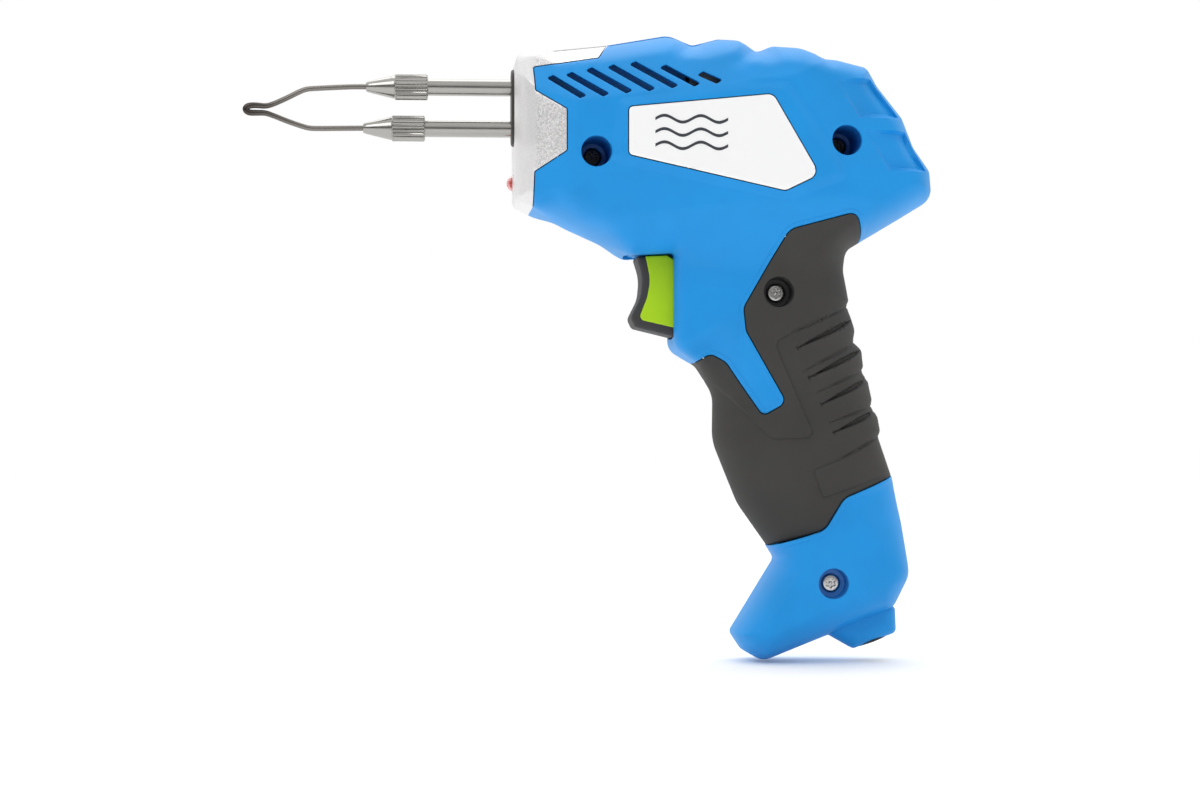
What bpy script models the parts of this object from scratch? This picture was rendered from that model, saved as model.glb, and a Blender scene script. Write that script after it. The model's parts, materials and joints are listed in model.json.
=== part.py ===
"""Corded soldering gun: two moulded half shells round a transformer, with a bent wire tip.

Lengths are in millimetres up to the point where a mesh is made, and X runs from the tip (-) to
the rear (+), Z runs up, and the two half shells meet at Y = 0.
"""

import math

import bmesh
import bpy
from mathutils import Matrix, Vector

MM = 0.001
SHIFT_X = -1.0            # puts the middle of the overall length at X = 0
GAP = 0.3                 # clearance kept between neighbouring pieces
SPLIT = 0.15              # half of the joint between the two half shells

# Half widths (Y), shell walls and edge radii
BODY_HALF = 28.0
GRIP_HALF = 17.0
FOOT_HALF = 18.5
COLLAR_HALF = 8.0
TRIGGER_HALF = 9.0
BODY_ROLL = 8.0
GRIP_ROLL = 6.0
FOOT_ROLL = 5.0
WALL = 2.5
COVER_SKIN = 2.0          # nose cover
GRIP_SKIN = 1.6           # soft grip skins
ROLL_STEPS = 2
ARC_STEP = math.radians(32)

# Side outlines: corner X, corner Z, corner radius
BODY = [(-22.5, 141.3, 2), (-22.5, 187.6, 5), (6.5, 190.7, 30), (25.5, 194.3, 7), (33.0, 190.9, 3),
        (41.0, 193.1, 5), (47.0, 192.9, 3), (53.2, 189.0, 3), (57.5, 190.9, 3), (66.0, 190.2, 10),
        (73.5, 186.9, 6), (86.8, 184.0, 4), (90.2, 177.9, 6), (98.0, 168.2, 6), (101.5, 159.0, 6),
        (106.7, 151.6, 5), (108.4, 142.5, 4), (84.0, 128.8, 6), (12.5, 124.8, 4), (-17.0, 138.9, 5)]
GRIP = [(26.3, 144.0, 1), (26.3, 96.6, 5), (34.4, 91.3, 4), (39.4, 82.0, 10), (39.2, 68.0, 18),
        (47.0, 47.5, 20), (58.6, 32.0, 3), (64.0, 22.0, 3), (90.0, 22.0, 3), (95.2, 57.0, 8),
        (91.4, 72.0, 20), (81.6, 110.0, 30), (80.3, 123.6, 6), (86.5, 136.0, 1), (84.0, 144.0, 1)]
FOOT = [(54.8, 35.0, 1), (58.9, 31.4, 2), (44.9, 8.6, 2), (48.4, 3.2, 4), (54.8, -0.6, 5),
        (96.4, 15.0, 5), (101.4, 26.5, 8), (98.4, 43.0, 30), (95.2, 57.0, 1), (78.4, 49.8, 4),
        (74.6, 42.0, 4)]
COLLAR = [(74.5, 7.4, 1), (82.8, 3.4, 1.5), (96.4, 8.4, 2), (96.2, 16.0, 1), (88.0, 24.0, 2),
          (76.0, 20.0, 2)]

# Where the silver nose cover and the soft grip skins lie over the shells
NOSE_AREA = [(-30, 130, 0), (-17.4, 130, 0), (-16.8, 149.2, 1), (-7.2, 155.2, 1),
             (-7.2, 167.9, 1), (-16.6, 173.8, 1), (-17.1, 181.4, 1), (3.2, 184.5, 1), (6.6, 200, 0),
             (-30, 200, 0)]
SOFT_AREA = [(120, 128.0, 0), (84.4, 129.4, 1), (80.3, 137.3, 3), (60.6, 132.2, 5),
             (47.0, 108.6, 4), (47.8, 101.4, 4), (60.2, 79.6, 2.5), (53.0, 75.4, 2),
             (42.0, 92.0, 5), (37.4, 94.6, 3), (20, 84.0, 0), (20, 24.0, 0), (54.9, 35.2, 1),
             (72.0, 40.6, 4), (78.0, 50.4, 4), (96.0, 57.6, 1), (120, 67.0, 0)]

# Nose
BARREL_Z = {"upper": 177.2, "lower": 164.4}
NOSE_X = -22.5
ROD_R = 2.6
WINDOW_Z = (159.2, 182.8)
WINDOW_HALF = 5.0
LED_Z = 147.5
LED_R = 2.5
LED_TIP_X = -24.7

# Tip wire and the nuts that hold it
WIRE_R = 0.85
WIRE_BEND = [(-72.0, 176.9), (-85.6, 176.5), (-97.2, 171.6), (-103.0, 171.4), (-105.1, 170.0),
             (-103.0, 168.5), (-98.4, 168.6), (-85.6, 164.2), (-72.5, 164.3)]
WIRE_SIDES = 8
NUT_FRONT_X = {"upper": -68.1, "lower": -69.0}
NUT_CONE = 8.8
NUT_LENGTH = 19.1
NUT_R = 4.0
NUT_SHOULDER_R = 3.6
NUT_TIP_R = 1.6
NUT_FLUTES = 20
NUT_BORE_R = 2.9
NUT_BORE_START = 8.3      # behind the nut's front face
COLLET_R = 2.45
COLLET_LENGTH = 3.4
ROD_START = 12.4          # behind the nut's front face
WIRE_DEPTH = 16.8         # how far the wire reaches behind the nut's front face

# Trigger and switch, which lie along the slide direction
SLIDE_ANGLE = math.radians(15)
TRIGGER_FRONT = [(17.3, 124.2, 0.6), (20.3, 115.2, 20), (16.0, 105.4, 1)]
TRIGGER_REACH = 9.25      # half height of the trigger's back, square to the slide
TRIGGER_PAD = [(15.0, 124.7, 0.8), (18.3, 115.2, 22), (13.1, 104.6, 2), (15.3, 102.9, 1),
               (26.0, 100.1, 0.4), (25.0, 110.0, 0), (17.7, 124.0, 0.2)]
TRIGGER_SLOT = [(11.6, 126.0, 0), (42.5, 117.7, 0), (42.5, 95.3, 0), (11.6, 103.5, 0)]
TRIGGER_BACK = (33.4, 110.3)
EAR_LENGTH = 2.3
EAR_HALF = 11.0
SWITCH_START = 10.0
SWITCH_SIZE = (9.0, 12.0, 16.0)
PLUNGER_R = 2.0
SPRING_R = 3.6
SPRING_WIRE_R = 0.35
SPRING_TURNS = 5

# Screws through both shells: X, Z, half width at that place, recess depth
SHELL_SCREWS = {"nose": (1.4, 155.1, BODY_HALF, 19.0), "rear": (77.6, 159.1, BODY_HALF, 19.0),
                "grip": (57.9, 113.4, GRIP_HALF, 8.0), "foot": (74.5, 24.3, FOOT_HALF, 6.5)}
RECESS_R = 4.5
POST_ROOT = 2.2            # how far inside the outer face a post starts, in the shell's wall
RECESS_WALL = 1.6
POST_R = 3.6
SCREW_R = 1.25
SCREW_HEAD_R = 2.6
SCREW_HEAD = 2.0
PILOT_R = 1.6

# Label plates and sunk details of the sides
LABEL = [(10.9, 168.5, 1.5), (54.8, 172.8, 3), (69.0, 148.4, 3), (58.5, 143.3, 3),
         (10.9, 153.9, 1.5)]
LABEL_THICKNESS = 0.6
POCKETS = [[(73.9, 177.8, 1), (84.2, 178.6, 1), (93.6, 166.3, 1), (81.5, 165.9, 1)],
           [(82.7, 162.3, 1), (94.4, 162.5, 1), (101.2, 150.2, 1), (90.7, 149.8, 1)]]
POCKET_DEPTH = 0.8
VENTS = [((-12.3, 178.0), (-2.6, 171.5)), ((-6.6, 179.0), (4.3, 172.1)),
         ((-0.5, 180.5), (11.3, 173.1)), ((6.1, 181.5), (18.2, 173.8)),
         ((12.8, 182.5), (25.2, 174.8)), ((21.9, 181.4), (31.9, 175.4)),
         ((33.1, 179.1), (38.6, 176.4))]
VENT_WIDTH = 1.9

# Transformer: laminations stacked along X, centre leg along Y
CORE_X = (30.0, 60.0)
CORE_Z = 160.0
CORE_HALF_Y = 22.0
CORE_LEG = 7.0
CORE_WINDOW = 8.0
BOBBIN_HALF = 14.6
BOBBIN_WALL = 1.2
FLANGE = 1.0
STRAP_HALF = 4.0
STRAP_THICK = 3.0
STRAP_BLOCK = (2.0, 14.0)
STRAP_BLOCK_HALF = 4.4

# Cord inlet: its axis is square to the slanted sole
SOLE_ANGLE = math.radians(20.5)
INLET_FACE = (88.9, 5.9)
INLET_LENGTH = 13.0
INLET_R = 5.2
BUSH_BORE_R = 3.9
CLAMP_AT = 34.0
CLAMP_SPACING = 6.6
CLAMP_SEAT = 2.5

PAINTS = {
    "blue_abs": ((0.014, 0.262, 0.716), 0.42, 0.0),
    "silver_paint": ((0.68, 0.68, 0.69), 0.38, 0.7),
    "soft_grip": ((0.058, 0.056, 0.053), 0.75, 0.0),
    "green_abs": ((0.30, 0.60, 0.012), 0.45, 0.0),
    "dark_pad": ((0.070, 0.068, 0.070), 0.7, 0.0),
    "label_white": ((0.86, 0.87, 0.88), 0.25, 0.0),
    "insulator": ((0.05, 0.045, 0.04), 0.5, 0.0),
    "nickel": ((0.72, 0.70, 0.66), 0.22, 1.0),
    "tip_steel": ((0.45, 0.42, 0.39), 0.32, 1.0),
    "brass": ((0.72, 0.52, 0.22), 0.3, 1.0),
    "copper": ((0.80, 0.42, 0.26), 0.3, 1.0),
    "enamel_wire": ((0.48, 0.19, 0.07), 0.35, 0.4),
    "lamination": ((0.26, 0.26, 0.28), 0.5, 0.8),
    "nylon": ((0.80, 0.78, 0.70), 0.5, 0.0),
    "black_plastic": ((0.02, 0.02, 0.02), 0.5, 0.0),
    "screw_steel": ((0.55, 0.55, 0.56), 0.3, 1.0),
    "screw_black": ((0.06, 0.06, 0.065), 0.4, 0.9),
    "led_red": ((0.60, 0.02, 0.02), 0.12, 0.0),
    "circuit_board": ((0.05, 0.20, 0.09), 0.5, 0.0),
    "wire_brown": ((0.16, 0.07, 0.03), 0.5, 0.0),
    "wire_blue": ((0.03, 0.10, 0.40), 0.5, 0.0),
    "wire_black": ((0.02, 0.02, 0.02), 0.5, 0.0),
    "rubber": ((0.03, 0.03, 0.03), 0.8, 0.0),
}


def clear_scene():
    for item in list(bpy.data.objects):
        bpy.data.objects.remove(item, do_unlink=True)


def at(x, y, z):
    """A place in millimetres as a vector in metres, with the overall length centred."""
    return Vector(((x + SHIFT_X) * MM, y * MM, z * MM))


# ---------------------------------------------------------------- outlines

def offset_corners(corners, distance):
    """Move every edge of a closed outline inwards by distance and meet the edges again."""
    area = sum(a[0] * b[1] - b[0] * a[1] for a, b in zip(corners, corners[1:] + corners[:1]))
    side = 1.0 if area > 0 else -1.0
    moved = []
    count = len(corners)
    for i in range(count):
        before, here, after = (Vector(corners[k % count][:2]) for k in (i - 1, i, i + 1))
        first = (here - before).normalized()
        second = (after - here).normalized()
        inward = (Vector((-first.y, first.x)) + Vector((-second.y, second.x))) * side
        half = inward.length / 2
        place = here + inward.normalized() * distance / half
        convex = first.cross(second) * side > 0
        radius = corners[i][2]
        if radius > 0:
            radius = max(radius - distance, 0.3) if convex else max(radius + distance, 0.3)
        moved.append((place.x, place.y, radius))
    return moved


def rounded(corners):
    """Points of a closed outline whose corners are arcs of the stated radius."""
    points = []
    count = len(corners)
    for i in range(count):
        before, here, after = (Vector(corners[k % count][:2]) for k in (i - 1, i, i + 1))
        radius = corners[i][2]
        first = (here - before).normalized()
        second = (after - here).normalized()
        turn = math.atan2(first.cross(second), first.dot(second))
        if radius <= 0 or abs(turn) < math.radians(2):
            points.append(here)
            continue
        reach = abs(radius * math.tan(turn / 2))
        limit = 0.48 * min((here - before).length, (after - here).length)
        if reach > limit:
            radius *= limit / reach
            reach = limit
        steps = max(1, round(abs(turn) / ARC_STEP))
        start = here - first * reach
        normal = Vector((-first.y, first.x)) * math.copysign(radius, turn)
        centre = start + normal
        for k in range(steps + 1):
            points.append(centre + Matrix.Rotation(turn * k / steps, 2) @ -normal)
    return points


# ---------------------------------------------------------------- meshes

def make_object(name, build):
    """A new object whose mesh is filled by build(bm), with every face turned outwards."""
    bm = bmesh.new()
    build(bm)
    bmesh.ops.recalc_face_normals(bm, faces=bm.faces)
    mesh = bpy.data.meshes.new(name)
    bm.to_mesh(mesh)
    bm.free()
    item = bpy.data.objects.new(name, mesh)
    bpy.context.scene.collection.objects.link(item)
    return item


def bridge_rings(bm, rings):
    """Quads between rings of equal length, and a face over each end."""
    loops = [[bm.verts.new(point) for point in ring] for ring in rings]
    count = len(loops[0])
    for lower, upper in zip(loops, loops[1:]):
        for k in range(count):
            bm.faces.new((lower[k], lower[(k + 1) % count], upper[(k + 1) % count], upper[k]))
    bm.faces.new(list(reversed(loops[0])))
    bm.faces.new(loops[-1])


def slab(name, corners, y_low, y_high, roll_low=0.0, roll_high=0.0):
    """An outline given thickness along Y, with quarter-round edges on either face."""
    stations = []
    for step in range(ROLL_STEPS + 1 if roll_low else 1):
        angle = math.pi / 2 * step / ROLL_STEPS
        stations.append((y_low + roll_low * (1 - math.sin(angle)),
                         roll_low * (1 - math.cos(angle))))
    stations.reverse()
    for step in range(ROLL_STEPS + 1 if roll_high else 1):
        angle = math.pi / 2 * step / ROLL_STEPS
        stations.append((y_high - roll_high * (1 - math.sin(angle)),
                         roll_high * (1 - math.cos(angle))))

    def build(bm):
        rings = []
        for y, inset in sorted(stations, key=lambda station: station[0]):
            ring = rounded(offset_corners(corners, inset))
            rings.append([at(point.x, y, point.y) for point in ring])
        bridge_rings(bm, rings)

    return make_object(name, build)


def block(name, x, y, z):
    """A plain block between two limits on each axis."""
    corners = [(x[0], z[0], 0), (x[1], z[0], 0), (x[1], z[1], 0), (x[0], z[1], 0)]
    return slab(name, corners, y[0], y[1])


def turned(name, profile, start, direction, sides=24):
    """A solid of revolution: profile is (distance along the axis, radius) from end to end."""
    axis = Vector(direction).normalized()
    across = axis.orthogonal().normalized()
    other = axis.cross(across)
    origin = at(*start)

    def build(bm):
        rings = []
        for along, radius in profile:
            centre = origin + axis * along * MM
            rings.append([centre + (across * math.cos(a) + other * math.sin(a)) * radius * MM
                          for a in (2 * math.pi * k / sides for k in range(sides))])
        bridge_rings(bm, rings)

    return make_object(name, build)


def rod(name, start, direction, length, radius, sides=24):
    return turned(name, [(0, radius), (length, radius)], start, direction, sides)


def tube_along(name, points, radius, sides):
    """A round tube through the points, its rings kept square to the path without twisting."""
    places = [at(*point) for point in points]

    def build(bm):
        rings = []
        normal = None
        for i, place in enumerate(places):
            ahead = places[min(i + 1, len(places) - 1)] - places[max(i - 1, 0)]
            ahead.normalize()
            if normal is None:
                normal = ahead.orthogonal().normalized()
            normal = (normal - ahead * normal.dot(ahead)).normalized()
            side = ahead.cross(normal)
            rings.append([place + (normal * math.cos(a) + side * math.sin(a)) * radius * MM
                          for a in (2 * math.pi * k / sides for k in range(sides))])
        bridge_rings(bm, rings)

    return make_object(name, build)


def smooth_route(points, per_span):
    """Catmull-Rom curve through the points, with per_span steps between neighbours."""
    route = [Vector(point) for point in points]
    ends = [2 * route[0] - route[1]] + route + [2 * route[-1] - route[-2]]
    result = []
    for i in range(1, len(ends) - 2):
        a, b, c, d = ends[i - 1:i + 3]
        for k in range(per_span):
            t = k / per_span
            result.append(0.5 * (2 * b + (c - a) * t + (2 * a - 5 * b + 4 * c - d) * t * t
                                 + (3 * b - a - 3 * c + d) * t ** 3))
    result.append(route[-1])
    return result


def combine(target, tool, operation):
    """Boolean of two solids, applied at once; the tool is used up."""
    modifier = target.modifiers.new(operation.lower(), "BOOLEAN")
    modifier.operation = operation
    modifier.object = tool
    modifier.solver = "EXACT"
    view = bpy.context.evaluated_depsgraph_get()
    mesh = bpy.data.meshes.new_from_object(target.evaluated_get(view))
    target.modifiers.clear()
    old = target.data
    target.data = mesh
    bpy.data.meshes.remove(old)
    bpy.data.objects.remove(tool, do_unlink=True)
    return target


def cut(target, tool):
    return combine(target, tool, "DIFFERENCE")


def join(target, tool):
    return combine(target, tool, "UNION")


def keep(target, tool):
    return combine(target, tool, "INTERSECT")


def paint(item, slot):
    """One Principled material on the object, shared by all pieces of that finish."""
    material = bpy.data.materials.get(slot)
    if material is None:
        colour, roughness, metallic = PAINTS[slot]
        material = bpy.data.materials.new(slot)
        material.use_nodes = True
        shader = material.node_tree.nodes["Principled BSDF"]
        shader.inputs["Base Color"].default_value = (*colour, 1)
        shader.inputs["Roughness"].default_value = roughness
        shader.inputs["Metallic"].default_value = metallic
    item.data.materials.clear()
    item.data.materials.append(material)
    item.data.shade_smooth()
    item.data.set_sharp_from_angle(angle=math.radians(35))
    return item


def set_origin(item, place):
    """Put the object's origin on its joint axis without moving its surface."""
    item.data.transform(Matrix.Translation(-place))
    item.location = place
    return item


# ---------------------------------------------------------------- housing

def y_span(side, inner, outer):
    """Limits on Y between two half widths, on the left (-1) or the right (+1) of the gun."""
    return (-outer, -inner) if side < 0 else (inner, outer)


def side_slab(name, corners, side, inner, outer, roll):
    low, high = y_span(side, inner, outer)
    return slab(name, corners, low, high, roll if side < 0 else 0, roll if side > 0 else 0)


def outer_form(name, side):
    """Body, grip, foot and cord collar of one side, before it is hollowed."""
    form = side_slab(name, BODY, side, SPLIT, BODY_HALF, BODY_ROLL)
    join(form, side_slab("grip", GRIP, side, SPLIT, GRIP_HALF, GRIP_ROLL))
    join(form, side_slab("foot", FOOT, side, SPLIT, FOOT_HALF, FOOT_ROLL))
    join(form, side_slab("collar", COLLAR, side, SPLIT, COLLAR_HALF, 3.0))
    return form


def hollow_form(name, side):
    """The space inside one side: thin walls on the body, a core under the covers elsewhere."""
    under_cover = COVER_SKIN + GAP + WALL
    under_skin = GRIP_SKIN + GAP + WALL
    deep = -2.0
    space = side_slab(name, offset_corners(BODY, WALL), side, deep, BODY_HALF - WALL,
                      BODY_ROLL - WALL)
    cut(space, block("front", (-40, 9.5), (-40, 40), (100, 210)))
    join(space, side_slab("front space", offset_corners(BODY, under_cover), side, deep + 0.1,
                          BODY_HALF - under_cover, BODY_ROLL - under_cover))
    join(space, side_slab("grip space", offset_corners(GRIP, under_skin), side, deep + 0.2,
                          GRIP_HALF - under_skin, GRIP_ROLL - under_skin))
    join(space, side_slab("foot space", offset_corners(FOOT, WALL + 0.5), side, deep + 0.3,
                          FOOT_HALF - WALL, FOOT_ROLL - WALL))
    return space


def nose_zone(name, grow, reach=40.0):
    return slab(name, offset_corners(NOSE_AREA, -grow), -reach, reach)


def under_nose(name, grow):
    """The spigot that the nose cover sits on: the body drawn in by the cover's skin."""
    inset = COVER_SKIN - grow
    return slab(name, offset_corners(BODY, inset), -BODY_HALF + inset, BODY_HALF - inset,
                BODY_ROLL - inset, BODY_ROLL - inset)


def under_grip(name, grow):
    """The core that the soft skins sit on: the grip drawn in by their thickness."""
    inset = GRIP_SKIN - grow
    return slab(name, offset_corners(GRIP, inset), -GRIP_HALF + inset, GRIP_HALF - inset,
                GRIP_ROLL - inset, GRIP_ROLL - inset)


def soft_zone(name, grow, half=40.0):
    """Where the soft skins lie in the side view, as deep as the stated half width."""
    return slab(name, offset_corners(SOFT_AREA, -grow), -half, half)


def vent_corners(start, end):
    along = (Vector(end) - Vector(start)).normalized()
    across = Vector((-along.y, along.x)) * VENT_WIDTH / 2
    first, second = Vector(start), Vector(end)
    places = [first + across, first - across, second - across, second + across]
    return [(place.x, place.y, VENT_WIDTH / 2.2) for place in places]


def inlet_direction():
    return Vector((math.sin(SOLE_ANGLE), 0, -math.cos(SOLE_ANGLE)))


def inlet_point(depth, y=0.0, across=0.0):
    """A place on the cord's way in: depth behind the collar's face, across it in the side view."""
    out = inlet_direction()
    x = INLET_FACE[0] - out.x * depth + math.cos(SOLE_ANGLE) * across
    z = INLET_FACE[1] - out.z * depth + math.sin(SOLE_ANGLE) * across
    return x, y, z


def add_screw_post(shell, side, x, z, half, depth):
    """Recess tube and collar on the left shell, threaded post on the right shell."""
    seat = -(half - depth)
    if side < 0:
        join(shell, rod("tube", (x, POST_ROOT - half, z), (0, 1, 0), depth - POST_ROOT + WALL,
                        RECESS_R + RECESS_WALL, 16))
        join(shell, rod("post", (x, seat + 1.0, z), (0, 1, 0), -SPLIT - seat - 1.0, POST_R, 16))
        cut(shell, rod("recess", (x, -half - 2, z), (0, 1, 0), depth + 2, RECESS_R, 16))
        cut(shell, rod("hole", (x, seat - 1, z), (0, 1, 0), -seat + 3, PILOT_R, 12))
        return
    join(shell, rod("post", (x, SPLIT, z), (0, 1, 0), half - POST_ROOT - SPLIT, POST_R, 16))
    cut(shell, rod("pilot", (x, -1, z), (0, 1, 0), 11.0, PILOT_R, 12))


def make_shell(side):
    """One moulded half of the housing."""
    name = "housing_left" if side < 0 else "housing_right"
    shell = outer_form(name, side)
    cover_space = nose_zone("cover space", GAP)
    cut(cover_space, under_nose("spigot", -GAP))
    cut(shell, cover_space)
    skin_space = soft_zone("skin space", GAP / 2, GRIP_HALF + GAP)
    keep(skin_space, slab("grip zone", offset_corners(GRIP, -3), -40, 40))
    cut(skin_space, under_grip("grip core", -GAP))
    cut(skin_space, block("foot guard", (40, 110), (-40, 40), (-10, 33.6)))
    cut(shell, skin_space)
    cut(shell, hollow_form("space", side))
    cut(shell, slab("trigger slot", TRIGGER_SLOT, -TRIGGER_HALF - 0.5, TRIGGER_HALF + 0.5))
    for x, z, half, depth in SHELL_SCREWS.values():
        add_screw_post(shell, side, x, z, half, depth)
    for start, end in VENTS:
        low, high = y_span(side, BODY_HALF - 9, BODY_HALF + 2)
        cut(shell, slab("vent", vent_corners(start, end), low, high))
    for corners in POCKETS:
        low, high = y_span(side, BODY_HALF - POCKET_DEPTH, BODY_HALF + 2)
        cut(shell, slab("pocket", corners, low, high))
    low, high = y_span(side, BODY_HALF - LABEL_THICKNESS - GAP, BODY_HALF + 2)
    cut(shell, slab("label pocket", offset_corners(LABEL, -GAP), low, high))
    cut(shell, slab("nose window", window_corners(), -WINDOW_HALF, WINDOW_HALF))
    cut(shell, rod("lamp hole", (NOSE_X - 2, 0, LED_Z), (1, 0, 0), 12, LED_R + GAP))
    cut(shell, rod("inlet", inlet_point(-4), -inlet_direction(), INLET_LENGTH + 9, INLET_R))
    if side < 0:
        for across in (-CLAMP_SPACING, CLAMP_SPACING):
            x, y, z = inlet_point(CLAMP_AT, 0, across)
            root = POST_ROOT - FOOT_HALF
            join(shell, rod("clamp post", (x, root, z), (0, 1, 0), CLAMP_SEAT - root, 2.6, 12))
            cut(shell, rod("clamp pilot", (x, -6, z), (0, 1, 0), 12, 1.2, 12))
    return paint(shell, "blue_abs")


def window_corners():
    low, high = WINDOW_Z
    front, back = NOSE_X - 3, NOSE_X + 9
    return [(front, low, 0), (back, low, 0), (back, high, 0), (front, high, 0)]


def stadium(name, half_width, low, high, x_start, x_end):
    """A rounded upright slot shape in the nose's plane, with thickness along X."""
    steps = 8
    ring = []
    for centre, start in ((high - half_width, 0.0), (low + half_width, math.pi)):
        for k in range(steps + 1):
            angle = start + math.pi * k / steps
            ring.append((half_width * math.cos(angle), centre + half_width * math.sin(angle)))

    def build(bm):
        bridge_rings(bm, [[at(x, y, z) for y, z in ring] for x in (x_start, x_end)])

    return make_object(name, build)


def make_nose_cover():
    cover = slab("nose_cover", BODY, -BODY_HALF, BODY_HALF, BODY_ROLL, BODY_ROLL)
    keep(cover, nose_zone("zone", 0))
    cut(cover, under_nose("spigot", 0))
    cut(cover, stadium("window", WINDOW_HALF, *WINDOW_Z, NOSE_X - 2, NOSE_X + 9))
    cut(cover, rod("lamp hole", (NOSE_X - 2, 0, LED_Z), (1, 0, 0), 12, LED_R + GAP))
    return paint(cover, "silver_paint")


def make_grip_skin(side):
    name = "grip_skin_left" if side < 0 else "grip_skin_right"
    skin = side_slab(name, GRIP, side, SPLIT, GRIP_HALF, GRIP_ROLL)
    zone = soft_zone("zone", -GAP / 2)
    cut(zone, side_slab("foot", offset_corners(FOOT, -GAP), side, -5, FOOT_HALF + GAP, FOOT_ROLL))
    keep(skin, zone)
    cut(skin, under_grip("core", 0))
    x, z = SHELL_SCREWS["grip"][:2]
    if side < 0:
        cut(skin, rod("recess", (x, -GRIP_HALF - 2, z), (0, 1, 0), 12,
                      RECESS_R + RECESS_WALL + GAP))
    return paint(skin, "soft_grip")


def make_label(side):
    name = "label_left" if side < 0 else "label_right"
    low, high = y_span(side, BODY_HALF - LABEL_THICKNESS, BODY_HALF)
    return paint(slab(name, LABEL, low, high), "label_white")


def make_shell_screw(name, x, z, half, depth):
    seat = -(half - depth)
    top = seat - GAP
    profile = [(0, SCREW_HEAD_R * 0.8), (0.5, SCREW_HEAD_R), (SCREW_HEAD, SCREW_HEAD_R),
               (SCREW_HEAD, SCREW_R), (SCREW_HEAD - top + 8.0, SCREW_R),
               (SCREW_HEAD - top + 9.2, 0.5)]
    screw = turned(name, profile, (x, top - SCREW_HEAD, z), (0, 1, 0), 20)
    cut(screw, rod("socket", (x, top - SCREW_HEAD - 1, z), (0, 1, 0), 2.2, 1.15, 6))
    return paint(screw, "screw_steel" if half < BODY_HALF else "screw_black")


# ---------------------------------------------------------------- nose and tip

def make_insulator():
    plate = stadium("nose_insulator", WINDOW_HALF - GAP, WINDOW_Z[0] + GAP, WINDOW_Z[1] - GAP,
                    NOSE_X + 0.5, NOSE_X + 7.0)
    back = NOSE_X + COVER_SKIN + GAP + WALL + GAP
    join(plate, block("flange", (back, NOSE_X + 7.4), (-8, 8), (157.4, 182.9)))
    for z in BARREL_Z.values():
        cut(plate, rod("bore", (NOSE_X - 3, 0, z), (1, 0, 0), 16, ROD_R + GAP))
    return paint(plate, "insulator")


def make_rod(which):
    front = NUT_FRONT_X[which] + ROD_START
    back = STRAP_BLOCK[1] - 2.5
    part = rod(which + "_rod", (front, 0, BARREL_Z[which]), (1, 0, 0), back - front, ROD_R)
    cut(part, rod("wire bore", (front - 1, 0, BARREL_Z[which]), (1, 0, 0), 9, WIRE_R + GAP, 12))
    return paint(part, "nickel")


def make_nut(which):
    """Fluted clamping nut with a conical nose, bored for the rod and the wire."""
    start = (NUT_FRONT_X[which], 0, BARREL_Z[which])
    sides = NUT_FLUTES * 2

    def fluted(along, radius, depth):
        return [at(start[0] + along, math.sin(a) * r, start[2] + math.cos(a) * r)
                for a, r in ((2 * math.pi * k / sides, radius - (k % 2) * depth)
                             for k in range(sides))]

    def build(bm):
        bridge_rings(bm, [fluted(0, NUT_TIP_R, 0), fluted(NUT_CONE, NUT_SHOULDER_R, 0),
                          fluted(NUT_CONE + 0.4, NUT_R, 0.35), fluted(NUT_LENGTH, NUT_R, 0.35)])

    nut = make_object(which + "_nut", build)
    cut(nut, rod("bore", (start[0] + NUT_BORE_START, 0, start[2]), (1, 0, 0), 20, NUT_BORE_R))
    cut(nut, rod("wire bore", (start[0] - 2, 0, start[2]), (1, 0, 0), 12, WIRE_R + GAP, 12))
    set_origin(nut, at(*start))
    return paint(nut, "nickel")


def make_collet(which):
    """Small sleeve in the nut, split along one side, that grips the wire's end."""
    start = (NUT_FRONT_X[which] + NUT_BORE_START + GAP, 0, BARREL_Z[which])
    profile = [(0, 1.9), (1.2, COLLET_R), (COLLET_LENGTH, COLLET_R)]
    sleeve = turned(which + "_collet", profile, start, (1, 0, 0), 20)
    cut(sleeve, rod("bore", (start[0] - 1, 0, start[2]), (1, 0, 0), 8, WIRE_R + GAP, 12))
    cut(sleeve, block("slit", (start[0] - 1, start[0] + 6), (-0.25, 0.25),
                      (start[2], start[2] + 4)))
    set_origin(sleeve, at(*start))
    return paint(sleeve, "brass")


def make_tip():
    bend = smooth_route([(x, 0, z) for x, z in WIRE_BEND], 3)
    first = (NUT_FRONT_X["upper"] + WIRE_DEPTH, 0, BARREL_Z["upper"])
    last = (NUT_FRONT_X["lower"] + WIRE_DEPTH, 0, BARREL_Z["lower"])
    straight = 1.0
    route = [first, (NUT_FRONT_X["upper"] - straight, 0, BARREL_Z["upper"])]
    route += [tuple(place) for place in bend]
    route += [(NUT_FRONT_X["lower"] - straight, 0, BARREL_Z["lower"]), last]
    tip = tube_along("tip_wire", route, WIRE_R, WIRE_SIDES)
    set_origin(tip, at(*first))
    return paint(tip, "tip_steel")


def make_lamp():
    steps = 5
    dome = [(LED_R * (1 - math.cos(a)), LED_R * math.sin(a))
            for a in (math.pi / 2 * k / steps for k in range(1, steps + 1))]
    back = NOSE_X + COVER_SKIN + GAP + WALL + GAP - LED_TIP_X
    profile = [(0.02, 0.3)] + dome + [(back, LED_R), (back, LED_R + 0.5), (back + 1.0, LED_R + 0.5)]
    lamp = turned("lamp", profile, (LED_TIP_X, 0, LED_Z), (1, 0, 0), 20)
    return paint(lamp, "led_red")


def make_lamp_board():
    x = NOSE_X + COVER_SKIN + 2 * GAP + WALL + 1.0 + GAP
    board = block("lamp_board", (x, x + 1.4), (-5, 5), (LED_Z - 3.2, LED_Z + 5.5))
    return paint(board, "circuit_board")


# ---------------------------------------------------------------- trigger and switch

def slide_direction():
    return Vector((math.cos(SLIDE_ANGLE), 0, -math.sin(SLIDE_ANGLE)))


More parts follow.
